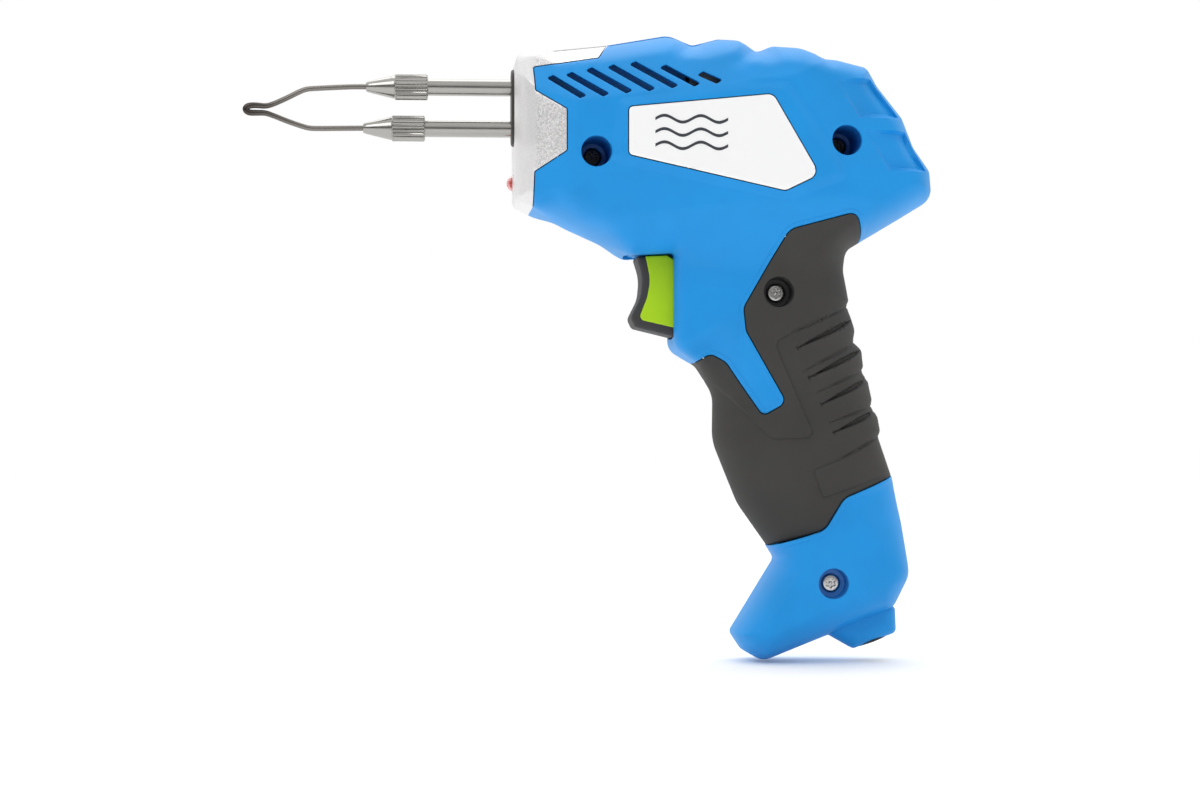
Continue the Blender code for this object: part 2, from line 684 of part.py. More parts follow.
def on_slide(along, y=0.0, up=0.0):
    """A place measured along the slide from the trigger's back, and square to it."""
    x = TRIGGER_BACK[0] + math.cos(SLIDE_ANGLE) * along + math.sin(SLIDE_ANGLE) * up
    z = TRIGGER_BACK[1] - math.sin(SLIDE_ANGLE) * along + math.cos(SLIDE_ANGLE) * up
    return x, y, z


def slide_block(name, along, y, up):
    """A block whose sides follow the slide direction."""
    corners = []
    for a, u in ((along[0], up[0]), (along[1], up[0]), (along[1], up[1]), (along[0], up[1])):
        x, _, z = on_slide(a, 0, u)
        corners.append((x, z, 0.4))
    return slab(name, corners, y[0], y[1])


def trigger_corners():
    backs = [on_slide(0, 0, up) for up in (-TRIGGER_REACH, TRIGGER_REACH)]
    return TRIGGER_FRONT + [(x, z, 0.4) for x, _, z in backs]


def make_trigger():
    """The sliding part, with ears behind the housing wall that keep it from falling out."""
    half = TRIGGER_HALF - 0.4
    core = slab("trigger_core", trigger_corners(), -half, half, 0.8, 0.8)
    join(core, slide_block("ears", (-EAR_LENGTH, 0), (-EAR_HALF, EAR_HALF), (0.5, 9.0)))
    return paint(set_origin(core, at(*on_slide(0))), "green_abs")


def make_trigger_pad():
    pad = slab("trigger_pad", TRIGGER_PAD, -TRIGGER_HALF, TRIGGER_HALF, 1.0, 1.0)
    cut(pad, slab("seat", offset_corners(trigger_corners(), -GAP), -12, 12))
    return paint(set_origin(pad, at(*on_slide(0))), "dark_pad")


def make_switch():
    length, width, height = SWITCH_SIZE
    body = slide_block("switch_body", (SWITCH_START, SWITCH_START + length),
                       (-width / 2, width / 2), (-height / 2, height / 2))
    cut(body, rod("plunger bore", on_slide(SWITCH_START - 1), slide_direction(), length - 0.8,
                  PLUNGER_R + GAP, 16))
    return paint(body, "black_plastic")


def make_plunger():
    length = SWITCH_START + 1.4
    profile = [(GAP, PLUNGER_R - 0.4), (GAP + 0.4, PLUNGER_R), (length, PLUNGER_R)]
    plunger = turned("switch_plunger", profile, on_slide(0), slide_direction(), 16)
    return paint(set_origin(plunger, at(*on_slide(0))), "nylon")


def make_spring():
    """Helical return spring round the plunger, with its first and last turns closed up."""
    per_turn = 12
    low = GAP + SPRING_WIRE_R
    high = SWITCH_START - GAP - SPRING_WIRE_R
    count = SPRING_TURNS * per_turn
    axis = slide_direction()
    up = Vector((math.sin(SLIDE_ANGLE), 0, math.cos(SLIDE_ANGLE)))
    points = []
    for k in range(count + 1):
        share = k / count
        along = low + (high - low) * share
        angle = 2 * math.pi * SPRING_TURNS * share
        base = Vector(on_slide(along))
        place = base + (up * math.cos(angle) + axis.cross(up) * math.sin(angle)) * SPRING_R
        points.append(tuple(place))
    return paint(tube_along("trigger_spring", points, SPRING_WIRE_R, 5), "screw_steel")


def make_blades():
    height = SWITCH_SIZE[2] / 2
    for name, y in (("switch_blade_live", -4.5), ("switch_blade_load", 4.5)):
        blade = slide_block(name, (SWITCH_START + 3, SWITCH_START + 7.5), (y - 0.4, y + 0.4),
                            (-height - 6.0, -height - GAP))
        paint(blade, "brass")


# ---------------------------------------------------------------- transformer

def ring_block(name, x, y, z, hole_x, hole_z):
    """A block with a square hole along Y."""
    ring = block(name, x, y, z)
    return cut(ring, block("hole", hole_x, (y[0] - 1, y[1] + 1), hole_z))


def centred(half):
    return CORE_Z - half, CORE_Z + half


def make_core():
    half_leg = CORE_LEG
    outer = half_leg + CORE_WINDOW + CORE_LEG
    core = block("transformer_core", CORE_X, (-CORE_HALF_Y, CORE_HALF_Y), centred(outer))
    window_half = CORE_HALF_Y - CORE_LEG
    for sign in (-1, 1):
        low, high = sorted((CORE_Z + sign * half_leg, CORE_Z + sign * (half_leg + CORE_WINDOW)))
        cut(core, block("window", (CORE_X[0] - 1, CORE_X[1] + 1), (-window_half, window_half),
                        (low, high)))
    return paint(core, "lamination")


def coil_limits(grow):
    """X and Z limits of a loop round the centre leg, grown by some distance."""
    return (CORE_X[0] - grow, CORE_X[1] + grow), centred(CORE_LEG + grow)


def make_bobbin():
    outer_x, outer_z = coil_limits(GAP + BOBBIN_WALL)
    hole_x, hole_z = coil_limits(GAP)
    bobbin = ring_block("bobbin", outer_x, (-BOBBIN_HALF, BOBBIN_HALF), outer_z, hole_x, hole_z)
    flange_x, flange_z = coil_limits(CORE_WINDOW - 2 * GAP)
    for y in (-BOBBIN_HALF, -STRAP_HALF - GAP - FLANGE, STRAP_HALF + GAP, BOBBIN_HALF - FLANGE):
        join(bobbin, ring_block("flange", flange_x, (y, y + FLANGE), flange_z, hole_x, hole_z))
    return paint(bobbin, "nylon")


def make_winding(side):
    name = "primary_winding_left" if side < 0 else "primary_winding_right"
    low, high = y_span(side, STRAP_HALF + 2 * GAP + FLANGE, BOBBIN_HALF - FLANGE - GAP)
    hole_x, hole_z = coil_limits(2 * GAP + BOBBIN_WALL)
    outer_x, outer_z = coil_limits(CORE_WINDOW - 4 * GAP)
    return paint(ring_block(name, outer_x, (low, high), outer_z, hole_x, hole_z), "enamel_wire")


def make_strap():
    """Heavy single turn through both windows, its two ends bored for the rods."""
    inner_x, inner_z = coil_limits(2 * GAP + BOBBIN_WALL)
    back = inner_x[1]
    top, bottom = inner_z[1], inner_z[0]
    thick = STRAP_THICK
    front = STRAP_BLOCK[1] - 1
    upper, lower = BARREL_Z["upper"], BARREL_Z["lower"]
    corners = [(front, upper + thick / 2, 0), (18.0, upper + thick / 2, 2),
               (27.0, top + thick, 2), (back + thick, top + thick, 3),
               (back + thick, bottom - thick, 3), (24.5, bottom - thick, 4),
               (front, lower - thick, 0), (front, lower, 0), (16.0, lower, 1),
               (26.5, bottom, 2), (back, bottom, 0.3), (back, top, 0.3), (25.5, top, 2),
               (17.0, upper - thick / 2, 2), (front, upper - thick / 2, 0)]
    strap = slab("secondary_strap", corners, -STRAP_HALF, STRAP_HALF)
    half = STRAP_BLOCK_HALF
    for z in BARREL_Z.values():
        join(strap, block("end", STRAP_BLOCK, (-STRAP_HALF, STRAP_HALF), (z - half, z + half)))
        cut(strap, rod("bore", (STRAP_BLOCK[0] - 1, 0, z), (1, 0, 0), 11, ROD_R + GAP))
    return paint(strap, "copper")


# ---------------------------------------------------------------- cord inlet and wiring

def make_inlet_bush():
    profile = [(0, INLET_R - GAP), (INLET_LENGTH, INLET_R - GAP)]
    bush = turned("cord_bush", profile, inlet_point(0), -inlet_direction())
    cut(bush, rod("bore", inlet_point(-2), -inlet_direction(), INLET_LENGTH + 4, BUSH_BORE_R))
    return paint(bush, "rubber")


def make_clamp():
    ends = [inlet_point(CLAMP_AT + d, 0, a) for d, a in ((-2.8, -9.6), (-2.8, 9.6), (2.8, 9.6),
                                                        (2.8, -9.6))]
    low, high = CLAMP_SEAT + GAP, CLAMP_SEAT + GAP + 2.8
    bar = slab("cord_clamp_bar", [(x, z, 1.5) for x, _, z in ends], low, high)
    for name, across in (("clamp_screw_front", -CLAMP_SPACING), ("clamp_screw_rear",
                                                                 CLAMP_SPACING)):
        x, _, z = inlet_point(CLAMP_AT, 0, across)
        cut(bar, rod("hole", (x, 0, z), (0, 1, 0), 8, 1.3, 12))
        profile = [(0, 2.2), (1.6, 2.2), (1.6, 0.9), (9.5, 0.9)]
        screw = turned(name, profile, (x, high + GAP + 1.6, z), (0, -1, 0), 14)
        cut(screw, block("slot", (x - 3, x + 3), (high + GAP + 0.9, 9), (z - 0.3, z + 0.3)))
        paint(screw, "screw_steel")
    return paint(bar, "nylon")


def make_terminal_block():
    part = block("terminal_block", (62, 77), (-7, 7), (57, 68))
    for x in (66, 73):
        cut(part, rod("screw hole", (x, 0, 62.5), (0, 1, 0), 9, 1.5, 12))
    return paint(part, "nylon")


def make_wires():
    switch_foot = on_slide(SWITCH_START + 5.2, 0, -SWITCH_SIZE[2] / 2 - 7.2)
    coil_back = CORE_X[1] + CORE_WINDOW + 0.8
    coil_front = CORE_X[0] - CORE_WINDOW - 0.8
    routes = {
        "wire_live": ("wire_brown", [(66, -4.5, 68.6), (64, -4.8, 76), (55, -4.8, 80),
                                     (switch_foot[0], -4.5, switch_foot[2])]),
        "wire_load": ("wire_black", [(switch_foot[0], 4.5, switch_foot[2]), (53, 5, 82),
                                     (64, 6, 92), (67, 8, 112), (68, 9.5, 130),
                                     (coil_back, 10, 150)]),
        "wire_neutral": ("wire_blue", [(73, -4.5, 68.6), (72, -5, 84), (70, -7, 106),
                                       (70, -9, 128), (coil_back, -10, 150)]),
        "wire_lamp": ("wire_black", [(-13.4, 3, LED_Z), (-8, 8, 146), (6, 14, 140),
                                     (16, 13, 144), (coil_front, 10, 152)]),
    }
    for name, (slot, points) in routes.items():
        paint(tube_along(name, smooth_route(points, 4), 0.8, 6), slot)


def main():
    clear_scene()
    for side in (-1, 1):
        make_shell(side)
        make_grip_skin(side)
        make_label(side)
        make_winding(side)
    make_nose_cover()
    make_insulator()
    make_lamp()
    make_lamp_board()
    for which in BARREL_Z:
        make_rod(which)
        make_nut(which)
        make_collet(which)
    make_tip()
    make_trigger()
    make_trigger_pad()
    make_switch()
    make_plunger()
    make_spring()
    make_blades()
    make_core()
    make_bobbin()
    make_strap()
    make_inlet_bush()
    make_clamp()
    make_terminal_block()
    make_wires()
    for place, (x, z, half, depth) in SHELL_SCREWS.items():
        make_shell_screw("housing_screw_" + place, x, z, half, depth)


main()
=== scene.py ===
import json
import math

import bpy
import numpy as np
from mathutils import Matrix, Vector
from mathutils.geometry import delaunay_2d_cdt


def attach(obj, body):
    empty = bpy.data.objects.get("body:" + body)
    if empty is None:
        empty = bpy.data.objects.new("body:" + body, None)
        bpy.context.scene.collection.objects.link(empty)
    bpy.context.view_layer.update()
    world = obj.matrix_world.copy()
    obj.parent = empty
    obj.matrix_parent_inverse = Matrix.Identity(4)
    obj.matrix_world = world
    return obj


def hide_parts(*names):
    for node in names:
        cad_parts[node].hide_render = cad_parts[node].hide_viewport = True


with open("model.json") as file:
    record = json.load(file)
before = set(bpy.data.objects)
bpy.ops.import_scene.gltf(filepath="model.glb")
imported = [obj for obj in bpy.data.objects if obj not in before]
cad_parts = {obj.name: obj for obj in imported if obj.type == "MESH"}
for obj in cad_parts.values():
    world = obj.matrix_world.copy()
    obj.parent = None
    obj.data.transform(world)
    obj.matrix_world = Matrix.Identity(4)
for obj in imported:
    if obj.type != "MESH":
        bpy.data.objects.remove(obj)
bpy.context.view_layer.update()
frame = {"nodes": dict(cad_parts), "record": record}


# Lengths below are in millimetres and turned into metres by place()
toMetres = 0.001
shiftX = -1.0


# Small tools for points in the side view (x, z)

def unit(v):
    return v / np.linalg.norm(v)


# A corner of radius r becomes an arc touching both sides; straight parts are then divided evenly
def roundedPath(corners, step=0.6):
    places = [np.array(c[:2], float) for c in corners]
    path = []
    for i, here in enumerate(places):
        before, after = places[i - 1], places[(i + 1) % len(places)]
        first, second = unit(here - before), unit(after - here)
        turn = math.atan2(first[0] * second[1] - first[1] * second[0], first @ second)
        radius = corners[i][2]
        if radius <= 0 or abs(turn) < 0.02:
            path.append(here)
            continue
        reach = radius * math.tan(abs(turn) / 2)
        limit = 0.48 * min(np.linalg.norm(here - before), np.linalg.norm(after - here))
        if reach > limit:
            radius *= limit / reach
            reach = limit
        normal = np.array((-first[1], first[0])) * math.copysign(radius, turn)
        centre = here - first * reach + normal
        count = max(3, int(radius * abs(turn) / step) + 1)
        for k in range(count + 1):
            a = turn * k / count
            c, s = math.cos(a), math.sin(a)
            path.append(centre - np.array((c * normal[0] - s * normal[1],
                                           s * normal[0] + c * normal[1])))
    out = []
    for a, b in zip(path, path[1:] + path[:1]):
        parts = max(1, math.ceil(np.linalg.norm(b - a) / step))
        out += [a + (b - a) * k / parts for k in range(parts)]
    return np.array(out)


# Shortest distance from each point to any straight piece of the closed path
def distanceTo(path, points):
    a = path
    d = np.roll(path, -1, axis=0) - a
    square = (d ** 2).sum(1) + 1e-12
    best = np.empty(len(points))
    for start in range(0, len(points), 1500):
        w = points[start:start + 1500, None, :] - a[None]
        t = np.clip((w * d).sum(2) / square, 0, 1)
        best[start:start + 1500] = np.sqrt(((w - t[..., None] * d) ** 2).sum(2).min(1))
    return best


# A point is inside if a ray to its right crosses the path an odd number of times
def inside(path, points):
    x, z = points[:, 0], points[:, 1]
    odd = np.zeros(len(points), bool)
    for (ax, az), (bx, bz) in zip(path, np.roll(path, -1, axis=0)):
        if az != bz:
            odd ^= ((az > z) != (bz > z)) & (x < (bx - ax) * (z - az) / (bz - az) + ax)
    return odd


# Distance to the path, counted positive inside it
def insideDepth(path, points):
    return distanceTo(path, points) * np.where(inside(path, points), 1, -1)


def smooth(t):
    t = np.clip(t, 0, 1)
    return t * t * (3 - 2 * t)


# Points a stated distance to the left of a path, one for each of its points
def offsetRow(path, distance):
    ahead = np.roll(path, -1, axis=0) - np.roll(path, 1, axis=0)
    ahead /= np.linalg.norm(ahead, axis=1)[:, None] + 1e-9
    return path + np.stack([-ahead[:, 1], ahead[:, 0]], axis=1) * distance


def counterClockwise(path):
    x, z = path[:, 0], path[:, 1]
    area = (x * np.roll(z, -1) - np.roll(x, -1) * z).sum()
    return path if area > 0 else path[::-1]


# Triangles of the side view: rows that follow the outline and each crease, and an even grid between
def sideMesh(outline, creased, spacing, depths):
    outline = counterClockwise(outline)
    creases = [path for path, _ in creased]
    kept = [outline]
    for depth in depths:
        row = offsetRow(outline, depth)
        kept.append(row[insideDepth(outline, row) > 0.97 * depth])
    clear = 0.22 if creases else 0.0
    rows = np.concatenate(kept[1:]) if depths else np.zeros((0, 2))
    for crease in creases:
        rows = rows[distanceTo(crease, rows) > clear]
    added = []
    for i, (crease, creaseRows) in enumerate(creased):
        for depth in creaseRows:
            for side in (-1, 1):
                row = offsetRow(crease, side * depth)
                row = row[distanceTo(crease, row) > 0.95 * depth]
                row = row[insideDepth(outline, row) > 0.25]
                for other in creases[:i] + creases[i + 1:]:
                    if len(row):
                        row = row[distanceTo(other, row) > 0.3]
                added.append(row)
    low, high = outline.min(0), outline.max(0)
    gx, gz = np.meshgrid(np.arange(low[0], high[0], spacing),
                         np.arange(low[1], high[1], spacing * 0.866))
    gx[1::2] += spacing / 2
    grid = np.stack([gx.ravel(), gz.ravel()], axis=1)
    last = (depths[-1] if depths else 0) + 0.45 * spacing
    grid = grid[insideDepth(outline, grid) > last]
    for crease, creaseRows in creased:
        grid = grid[distanceTo(crease, grid) > creaseRows[-1] + 0.4 * spacing]
    points = [outline] + creases
    edges = []
    start = 0
    for path in points:
        ids = np.arange(len(path)) + start
        edges += list(zip(ids.tolist(), np.roll(ids, -1).tolist()))
        start += len(path)
    everything = np.concatenate(points + [rows] + added + [grid])
    found = delaunay_2d_cdt([Vector(p) for p in everything.tolist()], edges, [], 0, 1e-5, False)
    flat = np.array([(v.x, v.y) for v in found[0]])
    faces = np.array(found[2])
    a, b, c = flat[faces[:, 0]], flat[faces[:, 1]], flat[faces[:, 2]]
    area = (b[:, 0] - a[:, 0]) * (c[:, 1] - a[:, 1]) - (b[:, 1] - a[:, 1]) * (c[:, 0] - a[:, 0])
    faces[area < 0] = faces[area < 0][:, ::-1]
    faces = faces[np.abs(area) > 1e-9]
    centres = flat[faces].mean(1)
    keep = inside(outline, centres)
    return flat, faces[keep], centres[keep]


# Meshes

def place(points):
    return (np.asarray(points, float) + (shiftX, 0, 0)) * toMetres


def addMesh(name, points, faces, looks, body, nodes, angle=32):
    mesh = bpy.data.meshes.new(name)
    mesh.from_pydata(place(points).tolist(), [], faces)
    mesh.validate()
    mesh.polygons.foreach_set("use_smooth", np.ones(len(mesh.polygons), bool))
    mesh.set_sharp_from_angle(angle=math.radians(angle))
    mesh.materials.append(looks)
    piece = bpy.data.objects.new(name, mesh)
    bpy.context.scene.collection.objects.link(piece)
    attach(piece, body)
    if nodes:
        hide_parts(*nodes)
    return piece


# Boundary edges, as pairs of points, with the faces on their left
def rimOf(faces):
    pairs = np.concatenate([faces[:, [0, 1]], faces[:, [1, 2]], faces[:, [2, 0]]])
    count = int(faces.max()) + 1
    code = pairs[:, 0].astype(np.int64) * count + pairs[:, 1]
    back = pairs[:, 1].astype(np.int64) * count + pairs[:, 0]
    return pairs[~np.isin(code, back)]


# One side of a moulding: an outer sheet at y = outer(x, z), an inner one behind it, and the
# edges between them. Points on a seam draw back by half the gap.
def mouldedSide(flat, faces, depth, yOut, yIn, side, gap=0.14):
    used = np.unique(faces)
    index = np.full(len(flat), -1)
    index[used] = np.arange(len(used))
    faces = index[faces]
    points = flat[used].copy()
    rim = rimOf(faces)
    push = np.zeros_like(points)
    along = points[rim[:, 1]] - points[rim[:, 0]]
    along /= np.linalg.norm(along, axis=1)[:, None] + 1e-9
    left = np.stack([-along[:, 1], along[:, 0]], axis=1)
    for column in (0, 1):
        np.add.at(push, rim[:, column], left)
    size = np.linalg.norm(push, axis=1)
    onRim = (size > 1e-6) & (depth[used] > 0.02)
    yOut = yOut[used]
    yIn = np.minimum(yIn[used], yOut - 0.05)
    moved = points.copy()
    moved[onRim] += push[onRim] / size[onRim, None] * gap
    count = len(points)
    outerPoints = np.stack([moved[:, 0], side * yOut, moved[:, 1]], axis=1)
    innerPoints = np.stack([moved[:, 0], side * yIn, moved[:, 1]], axis=1)
    front = faces if side < 0 else faces[:, ::-1]
    back = front[:, ::-1] + count
    a, b = rim[:, 0], rim[:, 1]
    walls = np.stack([b, a, a + count, b + count], axis=1)
    if side > 0:
        walls = walls[:, ::-1]
    allFaces = front.tolist() + back.tolist() + walls.tolist()
    return np.concatenate([outerPoints, innerPoints]), allFaces


# Rings of points joined by quads; the ends are capped, or the last ring meets the first
def ringMesh(name, rings, looks, body, nodes, loop=False, angle=32):
    rings = np.asarray(rings, float)
    rows, count = rings.shape[:2]
    ids = np.arange(rows * count).reshape(rows, count)
    lower = ids if loop else ids[:-1]
    upper = np.roll(ids, -1, axis=0) if loop else ids[1:]
    quads = np.stack([lower, np.roll(lower, -1, axis=1), np.roll(upper, -1, axis=1), upper],
                     axis=2).reshape(-1, 4).tolist()
    if not loop:
        quads += [ids[0][::-1].tolist(), ids[-1].tolist()]
    return addMesh(name, rings.reshape(-1, 3), quads, looks, body, nodes, angle)


# A turned shape: rows of (distance along the axis, radius, lobe depth), where a lobe of n teeth
# takes depth * (1 - cos(n * angle)) / 2 off the radius
def turned(start, direction, rows, count=48, teeth=0):
    axis = unit(np.array(direction, float))
    first = unit(np.cross(axis, (0, 1, 0) if abs(axis[1]) < 0.9 else (1, 0, 0)))
    second = np.cross(axis, first)
    angle = np.linspace(0, 2 * math.pi, count, endpoint=False)
    rings = []
    for row in rows:
        lobe = row[2] if len(row) > 2 else 0
        radius = row[1] - lobe * (1 - np.cos(teeth * angle)) / 2
        rings.append(np.array(start) + axis * row[0]
                     + np.outer(np.cos(angle) * radius, first)
                     + np.outer(np.sin(angle) * radius, second))
    return rings


# A smooth curve through the stated points (cubic, each tangent half the span of its neighbours)
def curveThrough(points, steps):
    p = np.array(points, float)
    p = np.concatenate([[2 * p[0] - p[1]], p, [2 * p[-1] - p[-2]]])
    out = []
    for i in range(1, len(p) - 2):
        for t in np.linspace(0, 1, steps, endpoint=False):
            m0, m1 = (p[i + 1] - p[i - 1]) / 2, (p[i + 2] - p[i]) / 2
            out.append((2 * t ** 3 - 3 * t ** 2 + 1) * p[i] + (t ** 3 - 2 * t ** 2 + t) * m0
                       + (3 * t ** 2 - 2 * t ** 3) * p[i + 1] + (t ** 3 - t ** 2) * m1)
    out.append(p[-2])
    return np.array(out)


# Round rings carried along a path without twisting; wide stretches each ring across and thins it upwards
def tubeRings(path, radius, count, wide):
    rings = []
    normal = np.array((0.0, 1.0, 0.0))
    angle = np.linspace(0, 2 * math.pi, count, endpoint=False)
    for i, here in enumerate(path):
        ahead = unit(path[min(i + 1, len(path) - 1)] - path[max(i - 1, 0)])
        normal = unit(normal - ahead * (normal @ ahead))
        other = np.cross(ahead, normal)
        rings.append(here + np.outer(np.cos(angle) * radius * wide[i], normal)
                     + np.outer(np.sin(angle) * radius / wide[i], other))
    return rings


# Materials

def newMaterial(name, colour, roughness, metallic=0.0, coat=0.0):
    looks = bpy.data.materials.new(name)
    looks.use_nodes = True
    shader = looks.node_tree.nodes["Principled BSDF"]
    shader.inputs["Base Color"].default_value = (*colour, 1)
    shader.inputs["Roughness"].default_value = roughness
    shader.inputs["Metallic"].default_value = metallic
    shader.inputs["Coat Weight"].default_value = coat
    return looks, looks.node_tree, shader


def node(tree, kind, **values):
    made = tree.nodes.new(kind)
    for key, value in values.items():
        if isinstance(value, (int, float, tuple)) and key in made.inputs:
            made.inputs[key].default_value = value
        else:
            setattr(made, key, value)
    return made


def noiseOn(tree, scale, detail=3.0, stretch=(1, 1, 1)):
    coordinates = tree.nodes.new("ShaderNodeTexCoord")
    mapping = tree.nodes.new("ShaderNodeMapping")
    mapping.inputs["Scale"].default_value = stretch
    noise = tree.nodes.new("ShaderNodeTexNoise")
    noise.inputs["Scale"].default_value = scale
    noise.inputs["Detail"].default_value = detail
    tree.links.new(coordinates.outputs["Object"], mapping.inputs["Vector"])
    tree.links.new(mapping.outputs["Vector"], noise.inputs["Vector"])
    return noise


# Fine grain in the surface: noise of the stated scale read as height
def addGrain(tree, shader, scale, strength, distance=0.00005):
    noise = noiseOn(tree, scale)
    bump = tree.nodes.new("ShaderNodeBump")
    bump.inputs["Strength"].default_value = strength
    bump.inputs["Distance"].default_value = distance
    tree.links.new(noise.outputs["Fac"], bump.inputs["Height"])
    tree.links.new(bump.outputs["Normal"], shader.inputs["Normal"])


# Colour that drifts slowly between two values
def addDrift(tree, shader, scale, dark, light, socket="Base Color", low=0.35, high=0.65):
    noise = noiseOn(tree, scale, 2.0)
    ramp = tree.nodes.new("ShaderNodeValToRGB")
    ramp.color_ramp.elements[0].position = low
    ramp.color_ramp.elements[1].position = high
    ramp.color_ramp.elements[0].color = (*dark, 1)
    ramp.color_ramp.elements[1].color = (*light, 1)
    tree.links.new(noise.outputs["Fac"], ramp.inputs["Fac"])
    tree.links.new(ramp.outputs["Color"], shader.inputs[socket])


def plainLooks(name, colour, roughness, metallic=0.0, grain=0.0, scale=2500, coat=0.0, drift=0.0):
    looks, tree, shader = newMaterial(name, colour, roughness, metallic, coat)
    if grain:
        addGrain(tree, shader, scale, grain)
    if drift:
        dark = tuple(c * (1 - drift) for c in colour)
        light = tuple(min(1, c * (1 + drift)) for c in colour)
        addDrift(tree, shader, 60, dark, light)
    return looks


blueLooks = plainLooks("satinBlue", (0.006, 0.275, 0.70), 0.50, grain=0.22, scale=2600, drift=0.04)
gripLooks = plainLooks("softGripRubber", (0.042, 0.0405, 0.038), 0.70, grain=0.3, scale=3200,
                       drift=0.06)
greenLooks = plainLooks("limeGreen", (0.40, 0.66, 0.008), 0.48, grain=0.35, scale=1400, drift=0.04)
padLooks = plainLooks("triggerRubber", (0.042, 0.041, 0.042), 0.66, grain=0.2, scale=3000)
insulatorLooks = plainLooks("noseInsulation", (0.030, 0.028, 0.026), 0.5, grain=0.2, scale=2200)
screwLooks = plainLooks("brightScrew", (0.62, 0.61, 0.60), 0.24, 1.0, drift=0.08)
# Screws at the bottom of the deep nose and rear wells are dark, those in the shallow grip and foot wells
# bright
darkScrewLooks = plainLooks("darkScrew", (0.05, 0.05, 0.055), 0.35, 0.9)
# Screw wells are darker than the blue and grip mouldings they are cut into: painted shade in the
# recesses
shadedWellLooks = plainLooks("shadedBlueWell", (0.012, 0.20, 0.56), 0.42, grain=0.2)
shadedGripWellLooks = plainLooks("shadedGripWell", (0.03, 0.029, 0.028), 0.6, grain=0.2)
rubberLooks = plainLooks("bushRubber", (0.03, 0.03, 0.03), 0.75, grain=0.3, scale=1800)
for matt in (blueLooks, gripLooks, padLooks, greenLooks):  # moulded plastics with a low sheen
    matt.node_tree.nodes["Principled BSDF"].inputs["Specular IOR Level"].default_value = 0.3
print("materials ready")

# Silver paint with flakes: small bright and dark specks, coarser on the grained wings than on
# the smooth band in front of them
silverLooks, tree, shader = newMaterial("flakeSilver", (0.70, 0.69, 0.69), 0.40, 0.45)
coordinates = node(tree, "ShaderNodeTexCoord")
split = node(tree, "ShaderNodeSeparateXYZ")
tree.links.new(coordinates.outputs["Object"], split.inputs["Vector"])
wing = node(tree, "ShaderNodeMapRange")
wing.inputs["From Min"].default_value = -0.0180
wing.inputs["From Max"].default_value = -0.0172
tree.links.new(split.outputs["X"], wing.inputs["Value"])
flakes = node(tree, "ShaderNodeTexVoronoi")
flakes.inputs["Scale"].default_value = 2600
tree.links.new(coordinates.outputs["Object"], flakes.inputs["Vector"])
specks = node(tree, "ShaderNodeValToRGB")
specks.color_ramp.elements[0].color = (0.38, 0.37, 0.37, 1)
specks.color_ramp.elements[1].color = (0.90, 0.89, 0.89, 1)
tree.links.new(flakes.outputs["Color"], specks.inputs["Fac"])
mixing = node(tree, "ShaderNodeMix", data_type="RGBA")
mixing.inputs[6].default_value = (0.72, 0.71, 0.71, 1)
amount = node(tree, "ShaderNodeMath", operation="MULTIPLY_ADD")
amount.inputs[1].default_value = 0.62
amount.inputs[2].default_value = 0.18
tree.links.new(wing.outputs["Result"], amount.inputs[0])
tree.links.new(amount.outputs["Value"], mixing.inputs["Factor"])
tree.links.new(specks.outputs["Color"], mixing.inputs[7])
tree.links.new(mixing.outputs[2], shader.inputs["Base Color"])
bump = node(tree, "ShaderNodeBump")
bump.inputs["Distance"].default_value = 0.00006
tree.links.new(flakes.outputs["Distance"], bump.inputs["Height"])
tree.links.new(amount.outputs["Value"], bump.inputs["Strength"])
tree.links.new(bump.outputs["Normal"], shader.inputs["Normal"])

# Bright nickel, uneven in its gloss, and wire that darkens towards the hot end
nickelLooks, tree, shader = newMaterial("warmNickel", (0.37, 0.36, 0.34), 0.20, 1.0)
addDrift(tree, shader, 220, (0.12, 0.12, 0.12), (0.22, 0.22, 0.22), "Roughness")
wireLooks, tree, shader = newMaterial("heatDulledWire", (0.20, 0.19, 0.175), 0.30, 1.0)
coordinates = node(tree, "ShaderNodeTexCoord")
split = node(tree, "ShaderNodeSeparateXYZ")
tree.links.new(coordinates.outputs["Object"], split.inputs["Vector"])
heat = node(tree, "ShaderNodeMapRange")
heat.inputs["From Min"].default_value = -0.106
heat.inputs["From Max"].default_value = -0.088
tree.links.new(split.outputs["X"], heat.inputs["Value"])
tint = node(tree, "ShaderNodeValToRGB")
tint.color_ramp.elements[0].color = (0.07, 0.06, 0.055, 1)
tint.color_ramp.elements[1].color = (0.21, 0.195, 0.18, 1)
tree.links.new(heat.outputs["Result"], tint.inputs["Fac"])
tree.links.new(tint.outputs["Color"], shader.inputs["Base Color"])

# Red signal lamp: tinted, a quarter clear
lampLooks, tree, shader = newMaterial("redLampDome", (0.62, 0.09, 0.09), 0.12)
shader.inputs["Transmission Weight"].default_value = 0.25
shader.inputs["Subsurface Weight"].default_value = 0.1

labelLooks = plainLooks("glossyLabel", (0.93, 0.93, 0.93), 0.22, coat=0.3)

# The two shells, the nose cover, the grip skins and the labels

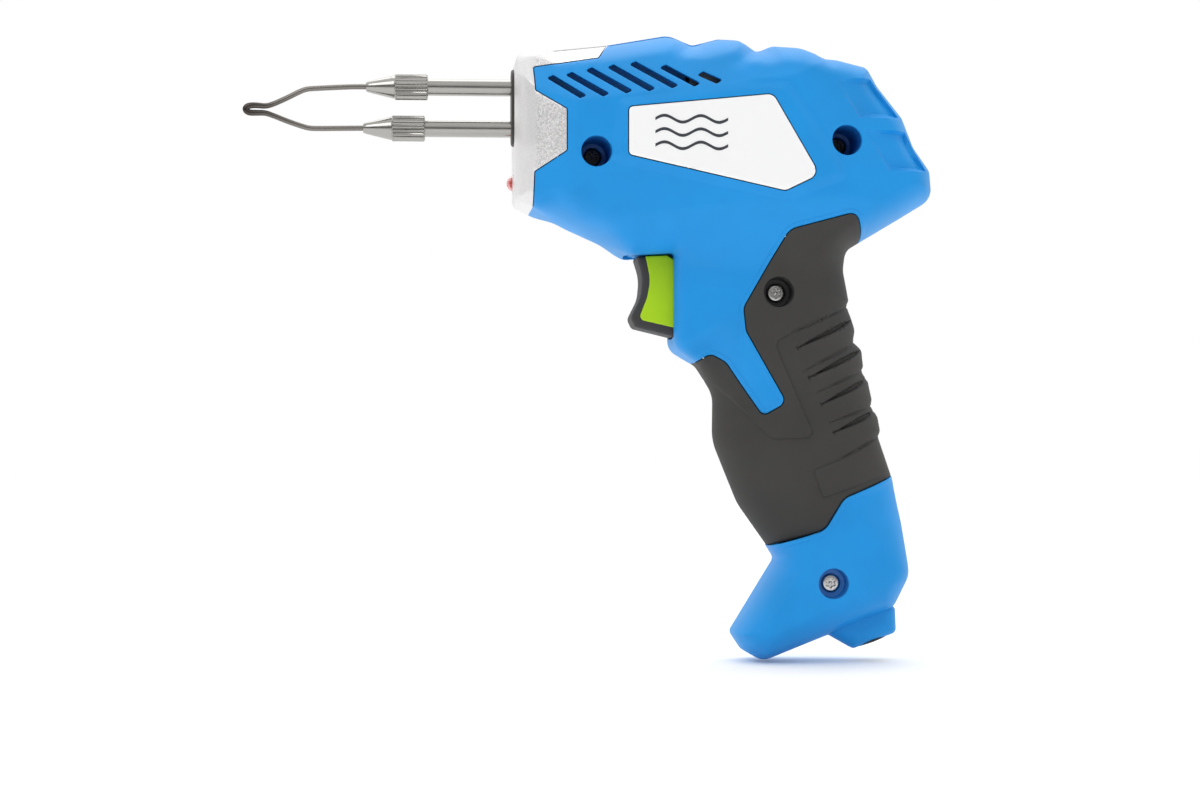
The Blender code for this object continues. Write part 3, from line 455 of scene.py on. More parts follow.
gunOutline = [(-22.5, 141.3, 2.5), (-22.5, 187.6, 5), (6.5, 190.7, 30), (25.5, 194.0, 7),
              (33.0, 190.9, 3), (41.0, 193.0, 5), (47.0, 192.8, 3), (53.2, 189.0, 3),
              (57.5, 190.8, 3), (66.0, 190.2, 10), (73.5, 186.9, 6), (86.8, 184.0, 4),
              (90.2, 177.9, 6), (98.0, 168.2, 6), (101.5, 159.0, 6), (106.7, 151.6, 5),
              (107.2, 142.9, 5), (84.8, 129.4, 6), (80.9, 127.0, 5), (80.3, 121.0, 10),
              (81.9, 111.6, 1.2), (81.3, 109.9, 1.2), (83.9, 102.4, 4), (83.3, 98.8, 1.5),
              (85.9, 96.2, 3), (86.5, 91.2, 1.5), (86.0, 89.4, 1.5), (88.0, 86.2, 3),
              (89.2, 80.8, 2), (88.8, 78.6, 1.5), (91.0, 75.4, 3), (91.8, 71.0, 2),
              (91.1, 69.2, 1.5), (95.4, 56.6, 8), (98.0, 43.0, 30), (100.1, 26.5, 10),
              (95.4, 15.4, 7), (54.8, -0.4, 5), (48.4, 3.2, 4), (44.9, 8.6, 2), (58.9, 31.4, 2),
              (56.6, 35.0, 2), (47.0, 48.6, 20), (39.2, 68.0, 18), (39.4, 82.0, 10),
              (34.4, 91.3, 4), (26.3, 96.6, 5), (26.3, 125.6, 1), (12.5, 124.8, 4),
              (-17.0, 138.9, 5)]
noseArea = [(-30, 130, 0), (-17.6, 130, 0), (-17.0, 149.2, 0.6), (-7.4, 155.3, 0.8),
            (-7.4, 167.9, 0.8), (-16.8, 173.7, 0.6), (-17.3, 181.2, 0.6), (2.6, 184.4, 0.8),
            (12.4, 200, 0), (-30, 200, 0)]
softArea = [(120, 128.0, 0), (84.4, 129.4, 1), (80.3, 137.3, 3), (60.6, 132.2, 5),
            (47.0, 108.6, 4), (47.8, 101.4, 4), (60.2, 79.6, 2.5), (53.0, 75.4, 2),
            (42.0, 92.0, 5), (37.4, 94.6, 3), (20, 84.0, 0), (20, 24.0, 0), (54.9, 35.2, 1),
            (72.0, 40.6, 6), (78.0, 50.4, 6), (96.0, 57.6, 1), (120, 67.0, 0)]
footArea = [(20, 24.0, 0), (54.9, 35.2, 1), (72.0, 40.6, 6), (78.0, 50.4, 6), (96.0, 57.6, 1),
            (120, 67.0, 0), (120, -20, 0), (20, -20, 0)]
labelArea = [(10.9, 168.5, 1.5), (54.8, 172.8, 3), (69.0, 148.4, 3), (58.5, 143.3, 3),
             (10.9, 153.9, 1.5)]
plateauArea = [(4.6, 152.6, 1), (8.4, 171.2, 2), (43.2, 176.3, 3), (59.9, 176.8, 2),
               (76.7, 151.3, 3), (77.8, 147.2, 2), (59.0, 140.6, 3), (10.5, 150.6, 1)]
pocketAreas = [[(73.9, 177.8, 0.5), (86.0, 178.6, 0.5), (95.2, 166.4, 0.5), (81.5, 165.9, 0.5)],
               [(82.7, 162.3, 0.5), (96.8, 162.5, 0.5), (103.4, 150.2, 0.5),
                (90.7, 149.8, 0.5)]]
raisedPanel = [(20, 86.8, 0), (35.0, 86.8, 1), (37.4, 86.5, 2), (42.9, 81.9, 2), (54.6, 69.4, 2),
               (56.8, 68.5, 1), (66.9, 68.8, 1), (68.2, 70.6, 1), (57.1, 96.3, 1.5),
               (57.3, 98.5, 1.5), (62.0, 101.0, 2), (82.5, 111.0, 0), (110, 115, 0),
               (110, 150, 0), (20, 150, 0)]
tapePanel = [(68.5, 58.9, 0.8), (71.4, 50.5, 0.5), (93.0, 58.1, 0), (102, 62, 0), (96, 72, 0),
             (78.0, 62.6, 0)]
ventLines = [((-12.3, 178.0), (-2.6, 171.5)), ((-6.6, 179.0), (4.3, 172.1)),
             ((-0.5, 180.5), (11.3, 173.1)), ((6.1, 181.5), (18.2, 173.8)),
             ((12.8, 182.5), (25.2, 174.8)), ((21.9, 181.4), (31.9, 175.4)),
             ((33.1, 179.1), (38.6, 176.4))]
valleyLines = [((33.4, 190.9), (25.4, 184.2)), ((52.8, 189.2), (42.0, 181.4)),
               ((73.4, 187.0), (75.2, 181.6))]
ribSlots = [((63.5, 96.3), (82.4, 105.6)), ((67.0, 87.2), (85.2, 96.2)),
            ((70.8, 79.0), (88.4, 87.8)), ((74.6, 70.4), (90.4, 77.6))]
ribCreases = [((62.0, 101.0), (82.0, 110.0)), ((65.4, 89.2), (83.8, 98.6)),
              ((69.8, 82.8), (86.4, 90.2)), ((73.6, 73.6), (89.0, 78.8)),
              ((77.6, 62.8), (91.2, 69.6))]
screwPlaces = {"nose": (1.4, 155.1, 19.0), "rear": (77.6, 159.1, 19.0),
               "grip": (57.9, 113.4, 8.0), "foot": (74.5, 24.3, 6.5)}
recessRadius = 4.5
wall = 2.2


def circlePath(x, z, radius, count=44):
    a = np.linspace(0, 2 * math.pi, count, endpoint=False)
    return np.stack([x + radius * np.cos(a), z + radius * np.sin(a)], axis=1)


# A slanted slot with ends cut nearly level and small round corners
def ventPath(start, end, width=1.75):
    a, b = np.array(start), np.array(end)
    along = unit(b - a)
    across = np.array((-along[1], along[0])) * width / 2
    lean = along * 0.55
    corners = [(*(a - across - lean), 0.35), (*(b - across - lean), 0.35),
               (*(b + across + lean), 0.35), (*(a + across + lean), 0.35)]
    return roundedPath(corners, 0.4)


# A lens-shaped patch along a line, widest past its middle
def lensPath(start, end, width):
    a, b = np.array(start), np.array(end)
    across = unit(b - a)[::-1] * (-1, 1)
    t = np.linspace(0, 1, 16)
    half = width / 2 * np.sin(math.pi * t ** 1.5) ** 0.8
    middleLine = a + t[:, None] * (b - a)
    return np.concatenate([middleLine - across * half[:, None],
                           (middleLine + across * half[:, None])[-2:0:-1]])


outlinePath = counterClockwise(roundedPath(gunOutline, 0.55))
slotPaths = [lensPath(a, b, 1.5) for a, b in ribSlots]
creasePaths = [lensPath(a, b, 0.8) for a, b in ribCreases]
panelPath = roundedPath(raisedPanel, 0.8)
tapePath = roundedPath(tapePanel, 0.8)
nosePath = roundedPath(noseArea, 0.6)
softPath = roundedPath(softArea, 0.6)
footPath = roundedPath(footArea, 0.6)
labelPath = roundedPath(labelArea, 0.6)
plateauPath = roundedPath(plateauArea, 1.0)
pocketPaths = [roundedPath(area, 0.7) for area in pocketAreas]
ventPaths = [ventPath(*line) for line in ventLines]
screwPaths = {k: circlePath(v[0], v[1], recessRadius) for k, v in screwPlaces.items()}


lipRows = [0.2, 0.5, 1.15, 1.6]
creased = [(softPath, lipRows), (footPath, lipRows), (plateauPath, [0.5])]
creased += [(path, [0.2, 0.5]) for path in
            [nosePath, labelPath, panelPath, tapePath] + ventPaths + list(screwPaths.values())]
creased += [(path, [0.25]) for path in slotPaths + creasePaths + pocketPaths]
flat, faces, centres = sideMesh(outlinePath, creased, 0.9,
                                [0.03, 0.12, 0.3, 0.6, 1.0, 1.6, 2.3, 3.1, 4.0, 5.0])
print("side view:", len(flat), "points,", len(faces), "triangles")


# How a side rolls in to the outline: reach inwards and reach across, body to grip to foot
def rollSizes(p):
    x, z = p[:, 0], p[:, 1]
    body = smooth((z - 112) / 22)
    nose = smooth((-9 - x) / 8)
    chin = smooth((42 - x) / 14) * smooth((z - 82) / 10) * smooth((135 - z) / 6)
    chin *= smooth((x - 3) / 9)
    deep = 19 + (8.5 - 19) * body
    deep = deep + (4.0 - deep) * nose
    deep = deep + (5.5 - deep) * chin
    across = 17.2 + (21.5 - 17.2) * body
    across = across + (5.5 - across) * nose
    across = across + (7.2 - across) * chin
    return deep, across


# y = width - across * (1 - sqrt(1 - (1 - depth / deep)^2)): a quarter ellipse at the outline
def rolled(width, deep, across, depth):
    t = 1 - np.clip(depth / deep, 0, 1)
    return width - across * (1 - np.sqrt(1 - t * t))


# Half width of the body: flat flanks with facets above the vents, behind the label, towards
# the nose and below the label, and a smooth neck down to the grip
def bodyWidth(p):
    x, z = p[:, 0], p[:, 1]
    top = 0.58 * np.maximum(z - (170.6 + 0.119 * (x + 2.6)), 0)
    rear = 0.20 * np.maximum((x - 62) * 0.856 + (z - 176.6) * 0.516, 0)
    nose = 0.28 * np.maximum(-4.5 - x, 0) + 0.30 * np.maximum(-16.6 - x, 0)
    low = 0.15 * np.maximum(151.0 - 0.21 * (x - 11) - z, 0)
    width = 26.6 - np.maximum.reduce([top, rear, nose]) - low
    neck = 26.6 - 9.3 * smooth((144 - z) / 25)
    return np.minimum(width, neck)


# Distance from a straight line's middle part
def grooveAway(p, line):
    a, b = np.array(line[0]), np.array(line[1])
    d = b - a
    t = np.clip(((p - a) @ d) / (d @ d), 0.25, 1)
    return np.linalg.norm(p - (a + t[:, None] * d), axis=1)


# Depth of a groove along a straight line, fading from its far end to its near one
def grooveAlong(p, line, halfWidth):
    a, b = np.array(line[0]), np.array(line[1])
    d = b - a
    t = np.clip(((p - a) @ d) / (d @ d), 0, 1)
    away = np.linalg.norm(p - (a + t[:, None] * d), axis=1)
    deep = np.clip(1 - away / halfWidth, 0, 1)
    return deep * (1 - t)


# Rounded edge beside a seam or hole: drops by 0.28 * (1 - distance / 0.5)^2
def edgeDrop(distance):
    return 0.28 * np.clip(1 - distance / 0.5, 0, 1) ** 2


def bodyOuter(p, depth):
    deep, across = rollSizes(p)
    plateau = np.clip(insideDepth(plateauPath, p) / 2.8, 0, 1)
    width = bodyWidth(p) + 1.33 * plateau
    y = rolled(width, deep, across, depth)
    for line in valleyLines:
        y -= 3.0 * grooveAlong(p, line, 3.4)
    for path in pocketPaths:
        depthIn = insideDepth(path, p)
        across = smooth((p[:, 0] - path[:, 0].min()) / 14)
        y -= np.clip(depthIn / 1.1, 0, 1) * (0.6 + 2.4 * across)
    soft = distanceTo(softPath, p)
    y += 0.34 * smooth((1.5 - soft) / 0.4) * smooth(depth / 1.5)
    near = np.minimum.reduce([soft, distanceTo(nosePath, p)]
                             + [distanceTo(q, p) for q in ventPaths]
                             + [distanceTo(screwPaths["nose"], p),
                                distanceTo(screwPaths["rear"], p)])
    return np.maximum(y - edgeDrop(near) - 0.3 * edgeDrop(distanceTo(labelPath, p)), 0.12)


def noseOuter(p, depth):
    deep, across = rollSizes(p)
    y = rolled(bodyWidth(p), deep, across, depth)
    return np.maximum(y - edgeDrop(distanceTo(nosePath, p)), 0.12)


def gripOuter(p, depth):
    deep, across = rollSizes(p)
    z = p[:, 1]
    width = 17.3 + 9.7 * smooth((z - 119) / 25) - 0.25
    y = rolled(width, deep, across, depth)
    y += 0.60 * smooth(insideDepth(panelPath, p) / 0.5 + 0.5) * smooth(depth / 2)
    y += 0.50 * smooth(insideDepth(tapePath, p) / 0.5 + 0.5) * smooth(depth / 2)
    for path in creasePaths:
        y -= 0.55 * smooth(insideDepth(path, p) / 0.5 + 0.5)
    for path in slotPaths:
        y -= 1.9 * smooth(insideDepth(path, p) / 0.4 + 0.4)
    for a, b in ribSlots:
        y += 0.5 * smooth(1 - grooveAway(p, (a, b)) / 3.2)
    near = np.minimum(distanceTo(softPath, p), distanceTo(screwPaths["grip"], p))
    return np.maximum(y - edgeDrop(near), 0.12)


def footOuter(p, depth):
    x, z = p[:, 0], p[:, 1]
    waist = smooth((z - 26) / 26)
    deep = 8.0 + 9.5 * waist
    across = 15.0 + 2.2 * waist
    line = np.interp(x, [44, 47.9, 76.1, 85.3, 94.5, 102], [3.0, 4.7, 18.3, 21.9, 24.9, 27.2])
    width = 18.4 - 0.42 * np.maximum(line - z, 0) - 1.2 * smooth((z - 30) / 22)
    y = rolled(width, deep, across, depth)
    soft = distanceTo(softPath, p)
    y += 0.34 * smooth((1.5 - soft) / 0.4) * smooth(depth / 1.5)
    near = np.minimum(soft, distanceTo(screwPaths["foot"], p))
    return np.maximum(y - edgeDrop(near), 0.12)


# Middle plane of each side, opened for the trigger's slot and the window of the rods
triggerSlot = roundedPath([(11.6, 126.4, 0), (42.5, 118.1, 0), (42.5, 95.3, 0), (11.6, 103.5, 0)])
noseWindow = roundedPath([(-30, 160.0, 0), (-13, 160.0, 0), (-13, 182.0, 0), (-30, 182.0, 0)])


def middle(p):
    y = np.full(len(p), 0.03)
    y[inside(triggerSlot, p)] = 9.35
    y[inside(noseWindow, p)] = 4.6
    return y


inNose = inside(nosePath, centres)
inSoft = inside(softPath, centres)
inFoot = inside(footPath, centres)
inLabel = inside(labelPath, centres)
inVent = np.zeros(len(centres), bool)
for path in ventPaths:
    inVent |= inside(path, centres)
inScrew = {k: inside(path, centres) for k, path in screwPaths.items()}
anyScrew = np.logical_or.reduce(list(inScrew.values()))

depthAll = distanceTo(outlinePath, flat)
middleAll = middle(flat)
labelEdge = distanceTo(labelPath, flat)
surfaces = {"bodyShell": bodyOuter(flat, depthAll), "footShell": footOuter(flat, depthAll),
            "gripSkin": gripOuter(flat, depthAll), "noseCover": noseOuter(flat, depthAll)}
labelTop = 27.92 - 0.35 * np.clip(1 - labelEdge / 0.5, 0, 1) ** 2
labelBack = np.full(len(flat), 27.35)
print("surfaces worked out")

for side, word in ((-1, "Left"), (1, "Right")):
    end = word.lower()
    holes = anyScrew if side < 0 else np.zeros(len(centres), bool)
    regions = {
        "bodyShell": (~inNose & ~inSoft & ~inFoot & ~inLabel & ~inVent & ~holes, wall,
                      blueLooks, "housing_" + end, "blue_abs"),
        "footShell": (inFoot & ~holes, wall, blueLooks, "housing_" + end, "blue_abs"),
        "gripSkin": (inSoft & ~inFoot & ~holes, 1.6, gripLooks, "grip_skin_" + end,
                     "soft_grip"),
        "noseCover": (inNose, 2.0, silverLooks, "nose_cover", "silver_paint"),
    }
    for stem, (mask, thick, looks, cadNode, slotName) in regions.items():
        y = surfaces[stem]
        # The inner sheet keeps a wall behind the outer one, and near the outline it lies on
        # the middle plane
        back = np.where(depthAll < thick, middleAll, np.maximum(y - thick, middleAll))
        points, made = mouldedSide(flat, faces[mask], depthAll, y, back, side)
        addMesh(stem + word, points, made, looks, "housing", [cadNode])
        print(stem + word, len(made), "faces")
    points, made = mouldedSide(flat, faces[inLabel], depthAll, labelTop, labelBack, side, 0.22)
    addMesh("label" + word, points, made, labelLooks, "housing", ["label_" + end])

# Screw wells and their screws

wellSizes = dict(lip=0.7, skin=1.5, headRadius=2.6, headHeight=2.0)


# The outer surface's y at one place on the near side
def surfaceAt(outer, x, z):
    ring = circlePath(x, z, recessRadius + 0.3, 12)
    return float(outer(ring, distanceTo(outlinePath, ring)).min())


screwOuter = {"nose": bodyOuter, "rear": bodyOuter, "grip": gripOuter, "foot": footOuter}
screwPaint = {"nose": darkScrewLooks, "rear": darkScrewLooks, "grip": screwLooks,
              "foot": screwLooks}
for key, (x, z, depth) in screwPlaces.items():
    top = surfaceAt(screwOuter[key], x, z) - wellSizes["lip"]
    r = recessRadius + 0.12
    bottom = depth - wellSizes["lip"]
    rows = [(0.0, r + wellSizes["skin"]), (0.0, r + 0.25), (0.2, r), (bottom - 0.8, r - 0.15),
            (bottom - 0.2, r - 0.4), (bottom, r - 0.9), (bottom, 3.0), (bottom + 0.3, 2.85),
            (bottom + 1.6, 2.85), (bottom + 1.6, 0.5), (bottom + 2.6, 0.5),
            (bottom + 2.6, r + 0.8), (bottom, r + wellSizes["skin"])]
    # The well takes the darker well colour: painted shade inside the recess
    ringMesh("well" + key.capitalize(), turned((x, -top, z), (0, 1, 0), rows)[::-1],
             shadedGripWellLooks if key == "grip" else shadedWellLooks, "housing", ["housing_left"],
             loop=True)
    head = wellSizes["headRadius"]
    seat = bottom + 1.6
    rows = [(seat + 8, 1.2), (seat, 1.25), (seat, head), (seat - 1.6, head),
            (seat - 1.95, head - 0.3), (seat - 2.0, head - 0.6), (seat - 2.0, 1.75, 0.5),
            (seat - 1.85, 1.62, 0.5), (seat - 0.7, 1.62, 0.5), (seat - 0.7, 0.5),
            (seat - 1.7, 0.46), (seat - 1.78, 0.3)]
    ringMesh("screw" + key.capitalize(),
             turned((x, -top, z), (0, 1, 0), rows, 72, 6)[::-1],
             screwPaint[key], "housing", ["housing_screw_" + key])
print("screws done")

# Nose front: insulation plate, lamp

plate = dict(halfWidth=5.3, low=159.0, high=182.9, face=-23.35, back=-19.0, roll=0.7)


def stadiumRing(x, grow):
    half = plate["halfWidth"] + grow
    a = np.linspace(0, math.pi, 22)
    topZ, lowZ = plate["high"] - plate["halfWidth"], plate["low"] + plate["halfWidth"]
    upper = np.stack([np.full(22, x), half * np.cos(a), topZ + half * np.sin(a)], axis=1)
    lower = np.stack([np.full(22, x), -half * np.cos(a), lowZ - half * np.sin(a)], axis=1)
    return np.concatenate([upper, lower])


steps = np.linspace(0, math.pi / 2, 6)
rings = [stadiumRing(plate["face"], -plate["roll"])] + [
    stadiumRing(plate["face"] + plate["roll"] * (1 - math.cos(t)),
                -plate["roll"] * (1 - math.sin(t))) for t in steps[1:]]
rings.append(stadiumRing(plate["back"], 0))
ringMesh("noseInsulator", rings[::-1], insulatorLooks, "housing", ["nose_insulator"])

lampSizes = dict(z=147.5, radius=2.5, tip=-24.7, back=-14.0, bezel=3.6)
rows = [(0.0, 0.05)]
rows += [(lampSizes["radius"] * (1 - math.cos(t)), lampSizes["radius"] * math.sin(t))
         for t in np.linspace(0.12, math.pi / 2, 14)]
rows += [(10.0, 2.5)]
ringMesh("signalLamp", turned((lampSizes["tip"], 0, lampSizes["z"]), (1, 0, 0), rows)[::-1],
         lampLooks, "housing", ["lamp"])
rows = [(0.4 - 0.4 * math.cos(t), 3.1 + 0.45 * math.sin(t)) for t in
        np.linspace(-math.pi / 2, math.pi / 2, 8)]
rows += [(3.0, 3.55), (3.0, 2.62)]
ringMesh("lampBezel", turned((-22.95, 0, lampSizes["z"]), (1, 0, 0), rows)[::-1], silverLooks,
         "housing", ["nose_cover"], loop=True)

# Rods, nuts and the bent wire

barrels = {"upper": (177.2, -68.1), "lower": (164.4, -69.0)}
nutSizes = dict(cone=8.8, length=19.1, radius=4.0, shoulder=3.6, tip=1.55, bore=2.9, flute=0.55,
                flutes=20, wireHole=0.95, boreStart=8.3)
for word, (z, front) in barrels.items():
    rows = [(12.4, 2.3), (12.7, 2.6), (11.5 - front, 2.6)]
    ringMesh(word + "Rod", turned((front, 0, z), (1, 0, 0), rows, 56)[::-1], nickelLooks,
             "housing", [word + "_rod"])
    n = nutSizes
    rows = [(0.0, n["wireHole"]), (0.0, n["tip"] - 0.3), (0.12, n["tip"] - 0.08),
            (0.4, n["tip"] + 0.06)]
    rows += [(0.4 + (n["cone"] - 1.2) * t, n["tip"] + 0.06 + (3.42 - n["tip"]) * t ** 0.93)
             for t in np.linspace(0.12, 1, 9)]
    rows += [(n["cone"] - 0.45, n["shoulder"]), (n["cone"], n["shoulder"]),
             (n["cone"] + 0.06, n["radius"] - 0.28, 0.0),
             (n["cone"] + 0.3, n["radius"], 0.14), (n["cone"] + 0.6, n["radius"], n["flute"]),
             (n["length"] - 0.6, n["radius"], n["flute"]), (n["length"] - 0.3, n["radius"], 0.14),
             (n["length"], n["radius"] - 0.3), (n["length"], n["bore"] + 0.2),
             (n["length"] - 0.2, n["bore"]), (n["boreStart"], n["bore"]),
             (n["boreStart"] - 0.2, n["wireHole"])]
    ringMesh(word + "Nut", turned((front, 0, z), (1, 0, 0), rows, 240, n["flutes"])[::-1],
             nickelLooks, word + "_nut", [word + "_nut"], loop=True, angle=40)

wireBend = [(-52.4, 177.2), (-60.0, 177.2), (-70.6, 177.2), (-76.0, 177.0), (-83.0, 176.6),
            (-86.2, 176.3), (-88.6, 175.4), (-92.8, 173.3), (-96.6, 171.6), (-98.9, 171.0),
            (-101.6, 171.1), (-103.4, 171.0), (-104.5, 170.6), (-104.9, 169.9), (-104.5, 169.2),
            (-103.4, 168.8), (-101.4, 168.8), (-98.9, 168.75), (-96.4, 168.0), (-92.0, 166.3),
            (-88.0, 164.95), (-85.4, 164.3), (-82.0, 164.2), (-76.0, 164.3), (-69.0, 164.4),
            (-61.0, 164.4), (-53.3, 164.4)]
path = curveThrough([(x, 0.0, z) for x, z in wireBend], 7)
ahead = smooth((-96.0 - path[:, 0]) / 9.0)
path[:, 1] = -0.9 * ahead
wide = 1 - 0.13 * ahead
ringMesh("tipWire", tubeRings(path, 0.85, 20, wide)[::-1], wireLooks, "tip", ["tip_wire"])
print("metal parts done")

# Trigger: green core inside a dark rim

triggerRim = [(14.9, 124.9, 0.8), (16.9, 118.5, 14), (16.3, 112.0, 10), (13.2, 105.8, 2.2),
              (14.6, 102.9, 1.8), (26.6, 100.0, 0.3), (36.0, 102.0, 0), (38.4, 110.6, 0),
              (36.0, 119.0, 0), (26.0, 124.6, 0.3), (24.5, 125.2, 0.2), (17.6, 124.9, 0.3)]
triggerPanel = [(17.7, 124.75, 0.3), (19.2, 117.4, 16), (18.2, 112.0, 8), (15.9, 106.2, 1.6),
                (16.8, 104.9, 1.0), (27.0, 102.6, 0.3), (34.8, 104.0, 0), (37.0, 110.6, 0),
                (34.8, 117.4, 0), (25.8, 124.2, 0.3), (24.4, 125.0, 0.3)]


# Both sides of a small moulding at once: y = +-(width - roll), closed by strips at its outline
def plump(name, corners, width, deep, across, looks, body, nodes, spacing=0.8):
    edge = counterClockwise(roundedPath(corners, 0.4))
    spots, tris, _ = sideMesh(edge, [], spacing, [0.03, 0.1, 0.22, 0.4, 0.65, 1.0, 1.5])
    y = rolled(width, deep, across, distanceTo(edge, spots))
    rim = rimOf(tris)
    count = len(spots)
    points = np.concatenate([np.stack([spots[:, 0], -y, spots[:, 1]], axis=1),
                             np.stack([spots[:, 0], y, spots[:, 1]], axis=1)])
    a, b = rim[:, 0], rim[:, 1]
    walls = np.stack([b, a, a + count, b + count], axis=1)
    made = tris.tolist() + (tris[:, ::-1] + count).tolist() + walls.tolist()
    return addMesh(name, points, made, looks, body, nodes)


plump("triggerRim", triggerRim, 8.45, 1.5, 1.8, padLooks, "trigger", ["trigger_pad"])
plump("triggerPanel", triggerPanel, 8.72, 0.5, 0.5, greenLooks, "trigger", ["trigger_core"])

# Cord collar and its bush

collarCorners = [(74.5, 8.2, 1), (82.8, 3.5, 1.5), (96.3, 8.5, 2), (96.0, 16.0, 1),
                 (88.0, 24.0, 2), (76.0, 20.0, 2)]
inletFace = np.array((88.9, 0.0, 5.9))
inletWay = np.array((-0.350207, 0.0, 0.936672))
inletCentre = inletFace[[0, 2]]
inletAlong = inletWay[[0, 2]]
collarPath = counterClockwise(roundedPath(collarCorners, 0.4))
collarFlat, collarFaces, _ = sideMesh(collarPath, [], 0.9, [0.03, 0.12, 0.3, 0.6, 1.0, 1.6])


collarDepth = distanceTo(collarPath, collarFlat)
collarOut = rolled(8.0, 4.5, 5.0, collarDepth)
fromAxis = np.abs((collarFlat - inletCentre) @ np.array((-inletAlong[1], inletAlong[0])))
collarIn = np.where(fromAxis < 5.0, 5.0, 0.03)
for side, word in ((-1, "Left"), (1, "Right")):
    points, made = mouldedSide(collarFlat, collarFaces, collarDepth, collarOut, collarIn, side)
    addMesh("cordCollar" + word, points, made, blueLooks, "housing",
            ["housing_" + word.lower()])
rows = [(-0.15, 3.9), (-0.15, 5.6), (0.0, 5.8), (0.5, 5.8), (0.5, 5.05), (12.6, 5.05),
        (12.8, 4.8), (12.8, 3.9)]
ringMesh("cordBush", turned(inletFace, inletWay, rows)[::-1], rubberLooks, "housing",
         ["cord_bush"], loop=True)

# Inner walls behind the vents, and the marks on the labels

backCorners = [(-13.5, 170.0, 1), (-13.5, 180.5, 1), (14.0, 185.0, 1), (29.4, 184.0, 1),
               (29.4, 171.5, 1)]
backPath = counterClockwise(roundedPath(backCorners, 1.0))
backFlat, backFaces, _ = sideMesh(backPath, [], 2.0, [0.3])
# The walls behind the vents take the darker well blue: painted shade seen through the vents
for side, word in ((-1, "Left"), (1, "Right")):
    ones = np.ones(len(backFlat))
    points, made = mouldedSide(backFlat, backFaces, distanceTo(backPath, backFlat), 16.2 * ones,
                               15.3 * ones, side)
    addMesh("ventBacking" + word, points, made, shadedWellLooks, "housing",
            ["housing_" + word.lower()])
markLooks = plainLooks("labelInk", (0.035, 0.04, 0.05), 0.4)
wave = dict(x=19.0, z=160.8, step=4.0, length=22.0, height=1.0, half=0.45, count=3, inner=27.90,
            outer=27.99, spots=60)
spots = wave["spots"]
along = np.linspace(0, 1, spots)
for side, word in ((-1, "Left"), (1, "Right")):
    points, made = [], []
    for k in range(wave["count"]):
        x = wave["x"] + wave["length"] * along
        z = wave["z"] + wave["step"] * (k - 1) + wave["height"] * np.sin(4 * math.pi * along)
        start = len(points)
        for y in (side * wave["inner"], side * wave["outer"]):
            for offset in (-wave["half"], wave["half"]):
                points += np.stack([x, np.full(spots, y), z + offset], axis=1).tolist()
        rows = np.arange(4 * spots).reshape(4, spots)[[0, 1, 3, 2]] + start
        for a, b in zip(rows, np.roll(rows, -1, axis=0)):
            made += np.stack([a[:-1], a[1:], b[1:], b[:-1]], axis=1)[:, ::side].tolist()
        made += [rows[:, 0].tolist()[::side], rows[:, -1].tolist()[::-side]]
    addMesh("labelMark" + word, points, made, markLooks, "housing", ["label_" + word.lower()])

# CAD pieces that stay in sight through the vents and the slot keep their shape

cadLooks = {
    "brass": plainLooks("colletBrass", (0.72, 0.52, 0.22), 0.3, 1.0, drift=0.08),
    # The strap copper and the enamelled wire are darker than bare copper and enamel: painted shade, so
    # the insides seen through the vents read dark
    "copper": plainLooks("strapCopper", (0.45, 0.21, 0.12), 0.4, 1.0, drift=0.1),
    "enamel_wire": plainLooks("enamelledCopper", (0.16, 0.055, 0.02), 0.4, 0.4, grain=0.4,
                              scale=900),
    "lamination": plainLooks("coreSteel", (0.05, 0.06, 0.07), 0.55, 0.5, grain=0.5, scale=1100),
    "nylon": plainLooks("paleNylon", (0.80, 0.78, 0.70), 0.5, grain=0.15),
    "black_plastic": plainLooks("blackPlastic", (0.02, 0.02, 0.02), 0.5, grain=0.15),
    "screw_steel": screwLooks,
    "circuit_board": plainLooks("boardGreen", (0.05, 0.20, 0.09), 0.5),
    "wire_brown": plainLooks("brownInsulation", (0.16, 0.07, 0.03), 0.5),
    "wire_blue": plainLooks("blueInsulation", (0.03, 0.10, 0.40), 0.5),
    "wire_black": plainLooks("blackInsulation", (0.02, 0.02, 0.02), 0.5),
    "rubber": rubberLooks,
}
slotOf = {entry["node"]: entry["material_slot"] for entry in frame["record"]["subparts"]}
for name, piece in frame["nodes"].items():
    if slotOf.get(name) in cadLooks:
        for slot in piece.material_slots:
            slot.material = cadLooks[slotOf[name]]
print("inner pieces painted")

# Stage, light and camera

floorMesh = bpy.data.meshes.new("studioFloor")
floorMesh.from_pydata([(-4, -4, -0.0004), (4, -4, -0.0004), (4, 4, -0.0004), (-4, 4, -0.0004)],
                      [], [(0, 1, 2, 3)])
floorLooks, tree, shader = newMaterial("paleFloor", (0.9, 0.9, 0.9), 0.8)
shader.inputs["Emission Color"].default_value = (1, 1, 1, 1)
shader.inputs["Emission Strength"].default_value = 0.08
floorPlace = node(tree, "ShaderNodeTexCoord")
axes = node(tree, "ShaderNodeSeparateXYZ")
# Painted shade: the floor's colour greys towards the viewer, darker there than under even light, so the
# metal mirrors a darker floor in front
floorShade = node(tree, "ShaderNodeMapRange")
floorShade.inputs["From Min"].default_value = -1.2  # the floor greys slowly towards the viewer
floorShade.inputs["From Max"].default_value = -0.36
floorShade.inputs["To Min"].default_value = 0.45
floorShade.inputs["To Max"].default_value = 0.9
tree.links.new(floorPlace.outputs["Object"], axes.inputs["Vector"])
tree.links.new(axes.outputs["Y"], floorShade.inputs["Value"])
tree.links.new(floorShade.outputs["Result"], shader.inputs["Base Color"])
floorMesh.materials.append(floorLooks)
floor = bpy.data.objects.new("studioFloor", floorMesh)
bpy.context.scene.collection.objects.link(floor)

world = bpy.data.worlds.new("studioWorld")
world.use_nodes = True
tree = world.node_tree
backdrop = tree.nodes["Background"]
backdrop.inputs["Color"].default_value = (1, 1, 1, 1)
way = node(tree, "ShaderNodeTexCoord")
parts = node(tree, "ShaderNodeSeparateXYZ")
tree.links.new(way.outputs["Generated"], parts.inputs["Vector"])


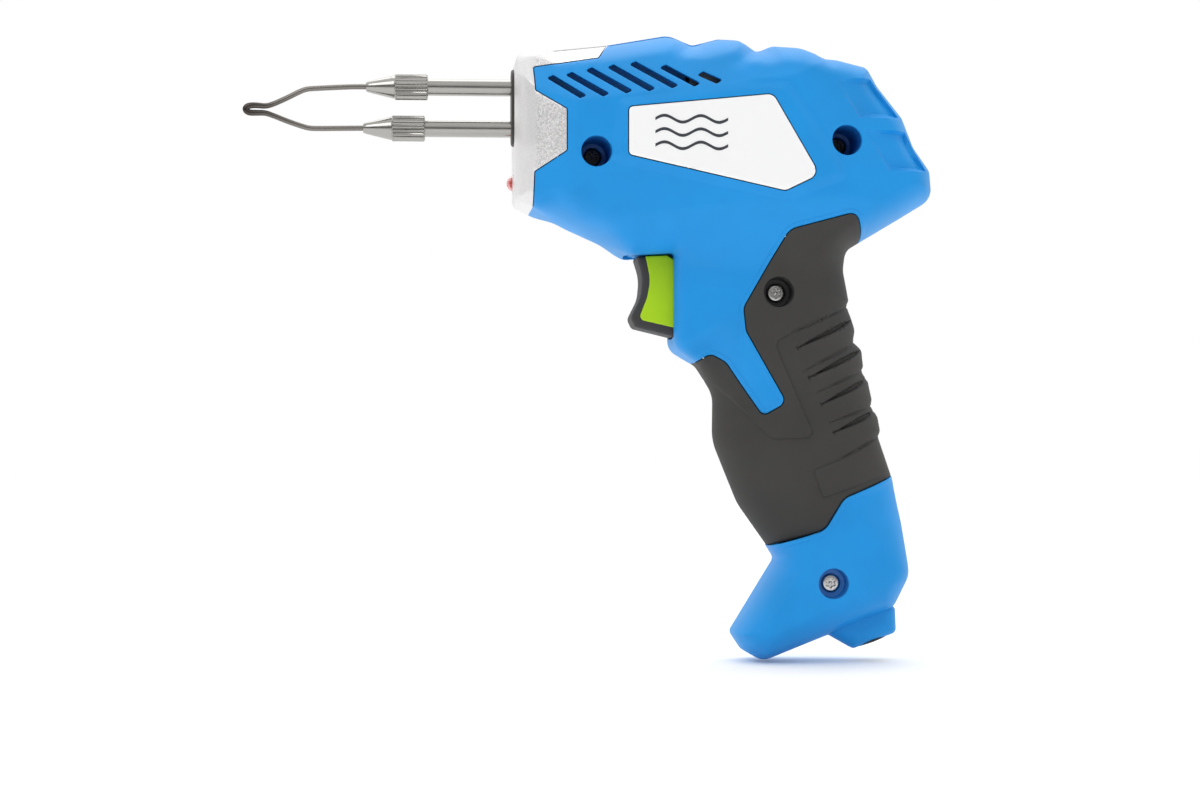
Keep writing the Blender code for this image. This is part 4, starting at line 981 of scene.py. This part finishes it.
# A smooth step of a value from one bound to the other
def softStep(tree, source, low, high, start, end):
    step = tree.nodes.new("ShaderNodeMapRange")
    step.interpolation_type = "SMOOTHSTEP"
    for name, value in (("From Min", low), ("From Max", high), ("To Min", start),
                        ("To Max", end)):
        step.inputs[name].default_value = value
    tree.links.new(source, step.inputs["Value"])
    return step.outputs["Result"]


# White behind the object and overhead, about half as bright on the viewer's side and dim there
# near the horizon, so that bright metal has something dark to mirror:
# overhead(z) * near(y) - dim(y) * low(z)
near = softStep(tree, parts.outputs["Y"], -0.30, 0.60, 0.56, 1.0)
dim = softStep(tree, parts.outputs["Y"], -0.65, -0.10, 0.42, 0.0)
lowDown = softStep(tree, parts.outputs["Z"], 0.05, 0.36, 1.0, 0.0)
overhead = softStep(tree, parts.outputs["Z"], 0.16, 0.80, 1.0, 1.75)
scaled = node(tree, "ShaderNodeMath", operation="MULTIPLY")
taken = node(tree, "ShaderNodeMath", operation="MULTIPLY")
total = node(tree, "ShaderNodeMath", operation="SUBTRACT")
tree.links.new(overhead, scaled.inputs[0])
tree.links.new(near, scaled.inputs[1])
tree.links.new(dim, taken.inputs[0])
tree.links.new(lowDown, taken.inputs[1])
tree.links.new(scaled.outputs["Value"], total.inputs[0])
tree.links.new(taken.outputs["Value"], total.inputs[1])
tree.links.new(total.outputs["Value"], backdrop.inputs["Strength"])
bpy.context.scene.world = world
bpy.context.scene.view_settings.view_transform = "Standard"


def addLight(name, spot, aim, size, power):
    data = bpy.data.lights.new(name, "AREA")
    data.shape = "SQUARE"
    data.size = size
    data.energy = power
    light = bpy.data.objects.new(name, data)
    light.location = spot
    light.rotation_euler = (Vector(aim) - Vector(spot)).to_track_quat("-Z", "Y").to_euler()
    bpy.context.scene.collection.objects.link(light)


addLight("softKey", (-0.5, -0.9, 0.9), (0, 0, 0.11), 0.6, 2.7)
addLight("softFill", (0.8, -0.8, 0.3), (0, 0, 0.11), 0.8, 1.0)
addLight("topStrip", (0.0, 0.3, 1.0), (0, 0, 0.11), 0.6, 1.5)

lens = bpy.data.cameras.new("sideCamera")
lens.sensor_width = 36.0
lens.lens = 82.26
camera = bpy.data.objects.new("sideCamera", lens)
cameraSpot = Vector((-0.05890, -0.84759, 0.06577))
camera.location = cameraSpot
camera.rotation_euler = (Vector((0.00334, 0, 0.0806)) - cameraSpot).to_track_quat("-Z",
                                                                             "Y").to_euler()
bpy.context.scene.collection.objects.link(camera)
bpy.context.scene.camera = camera
print("stage ready")
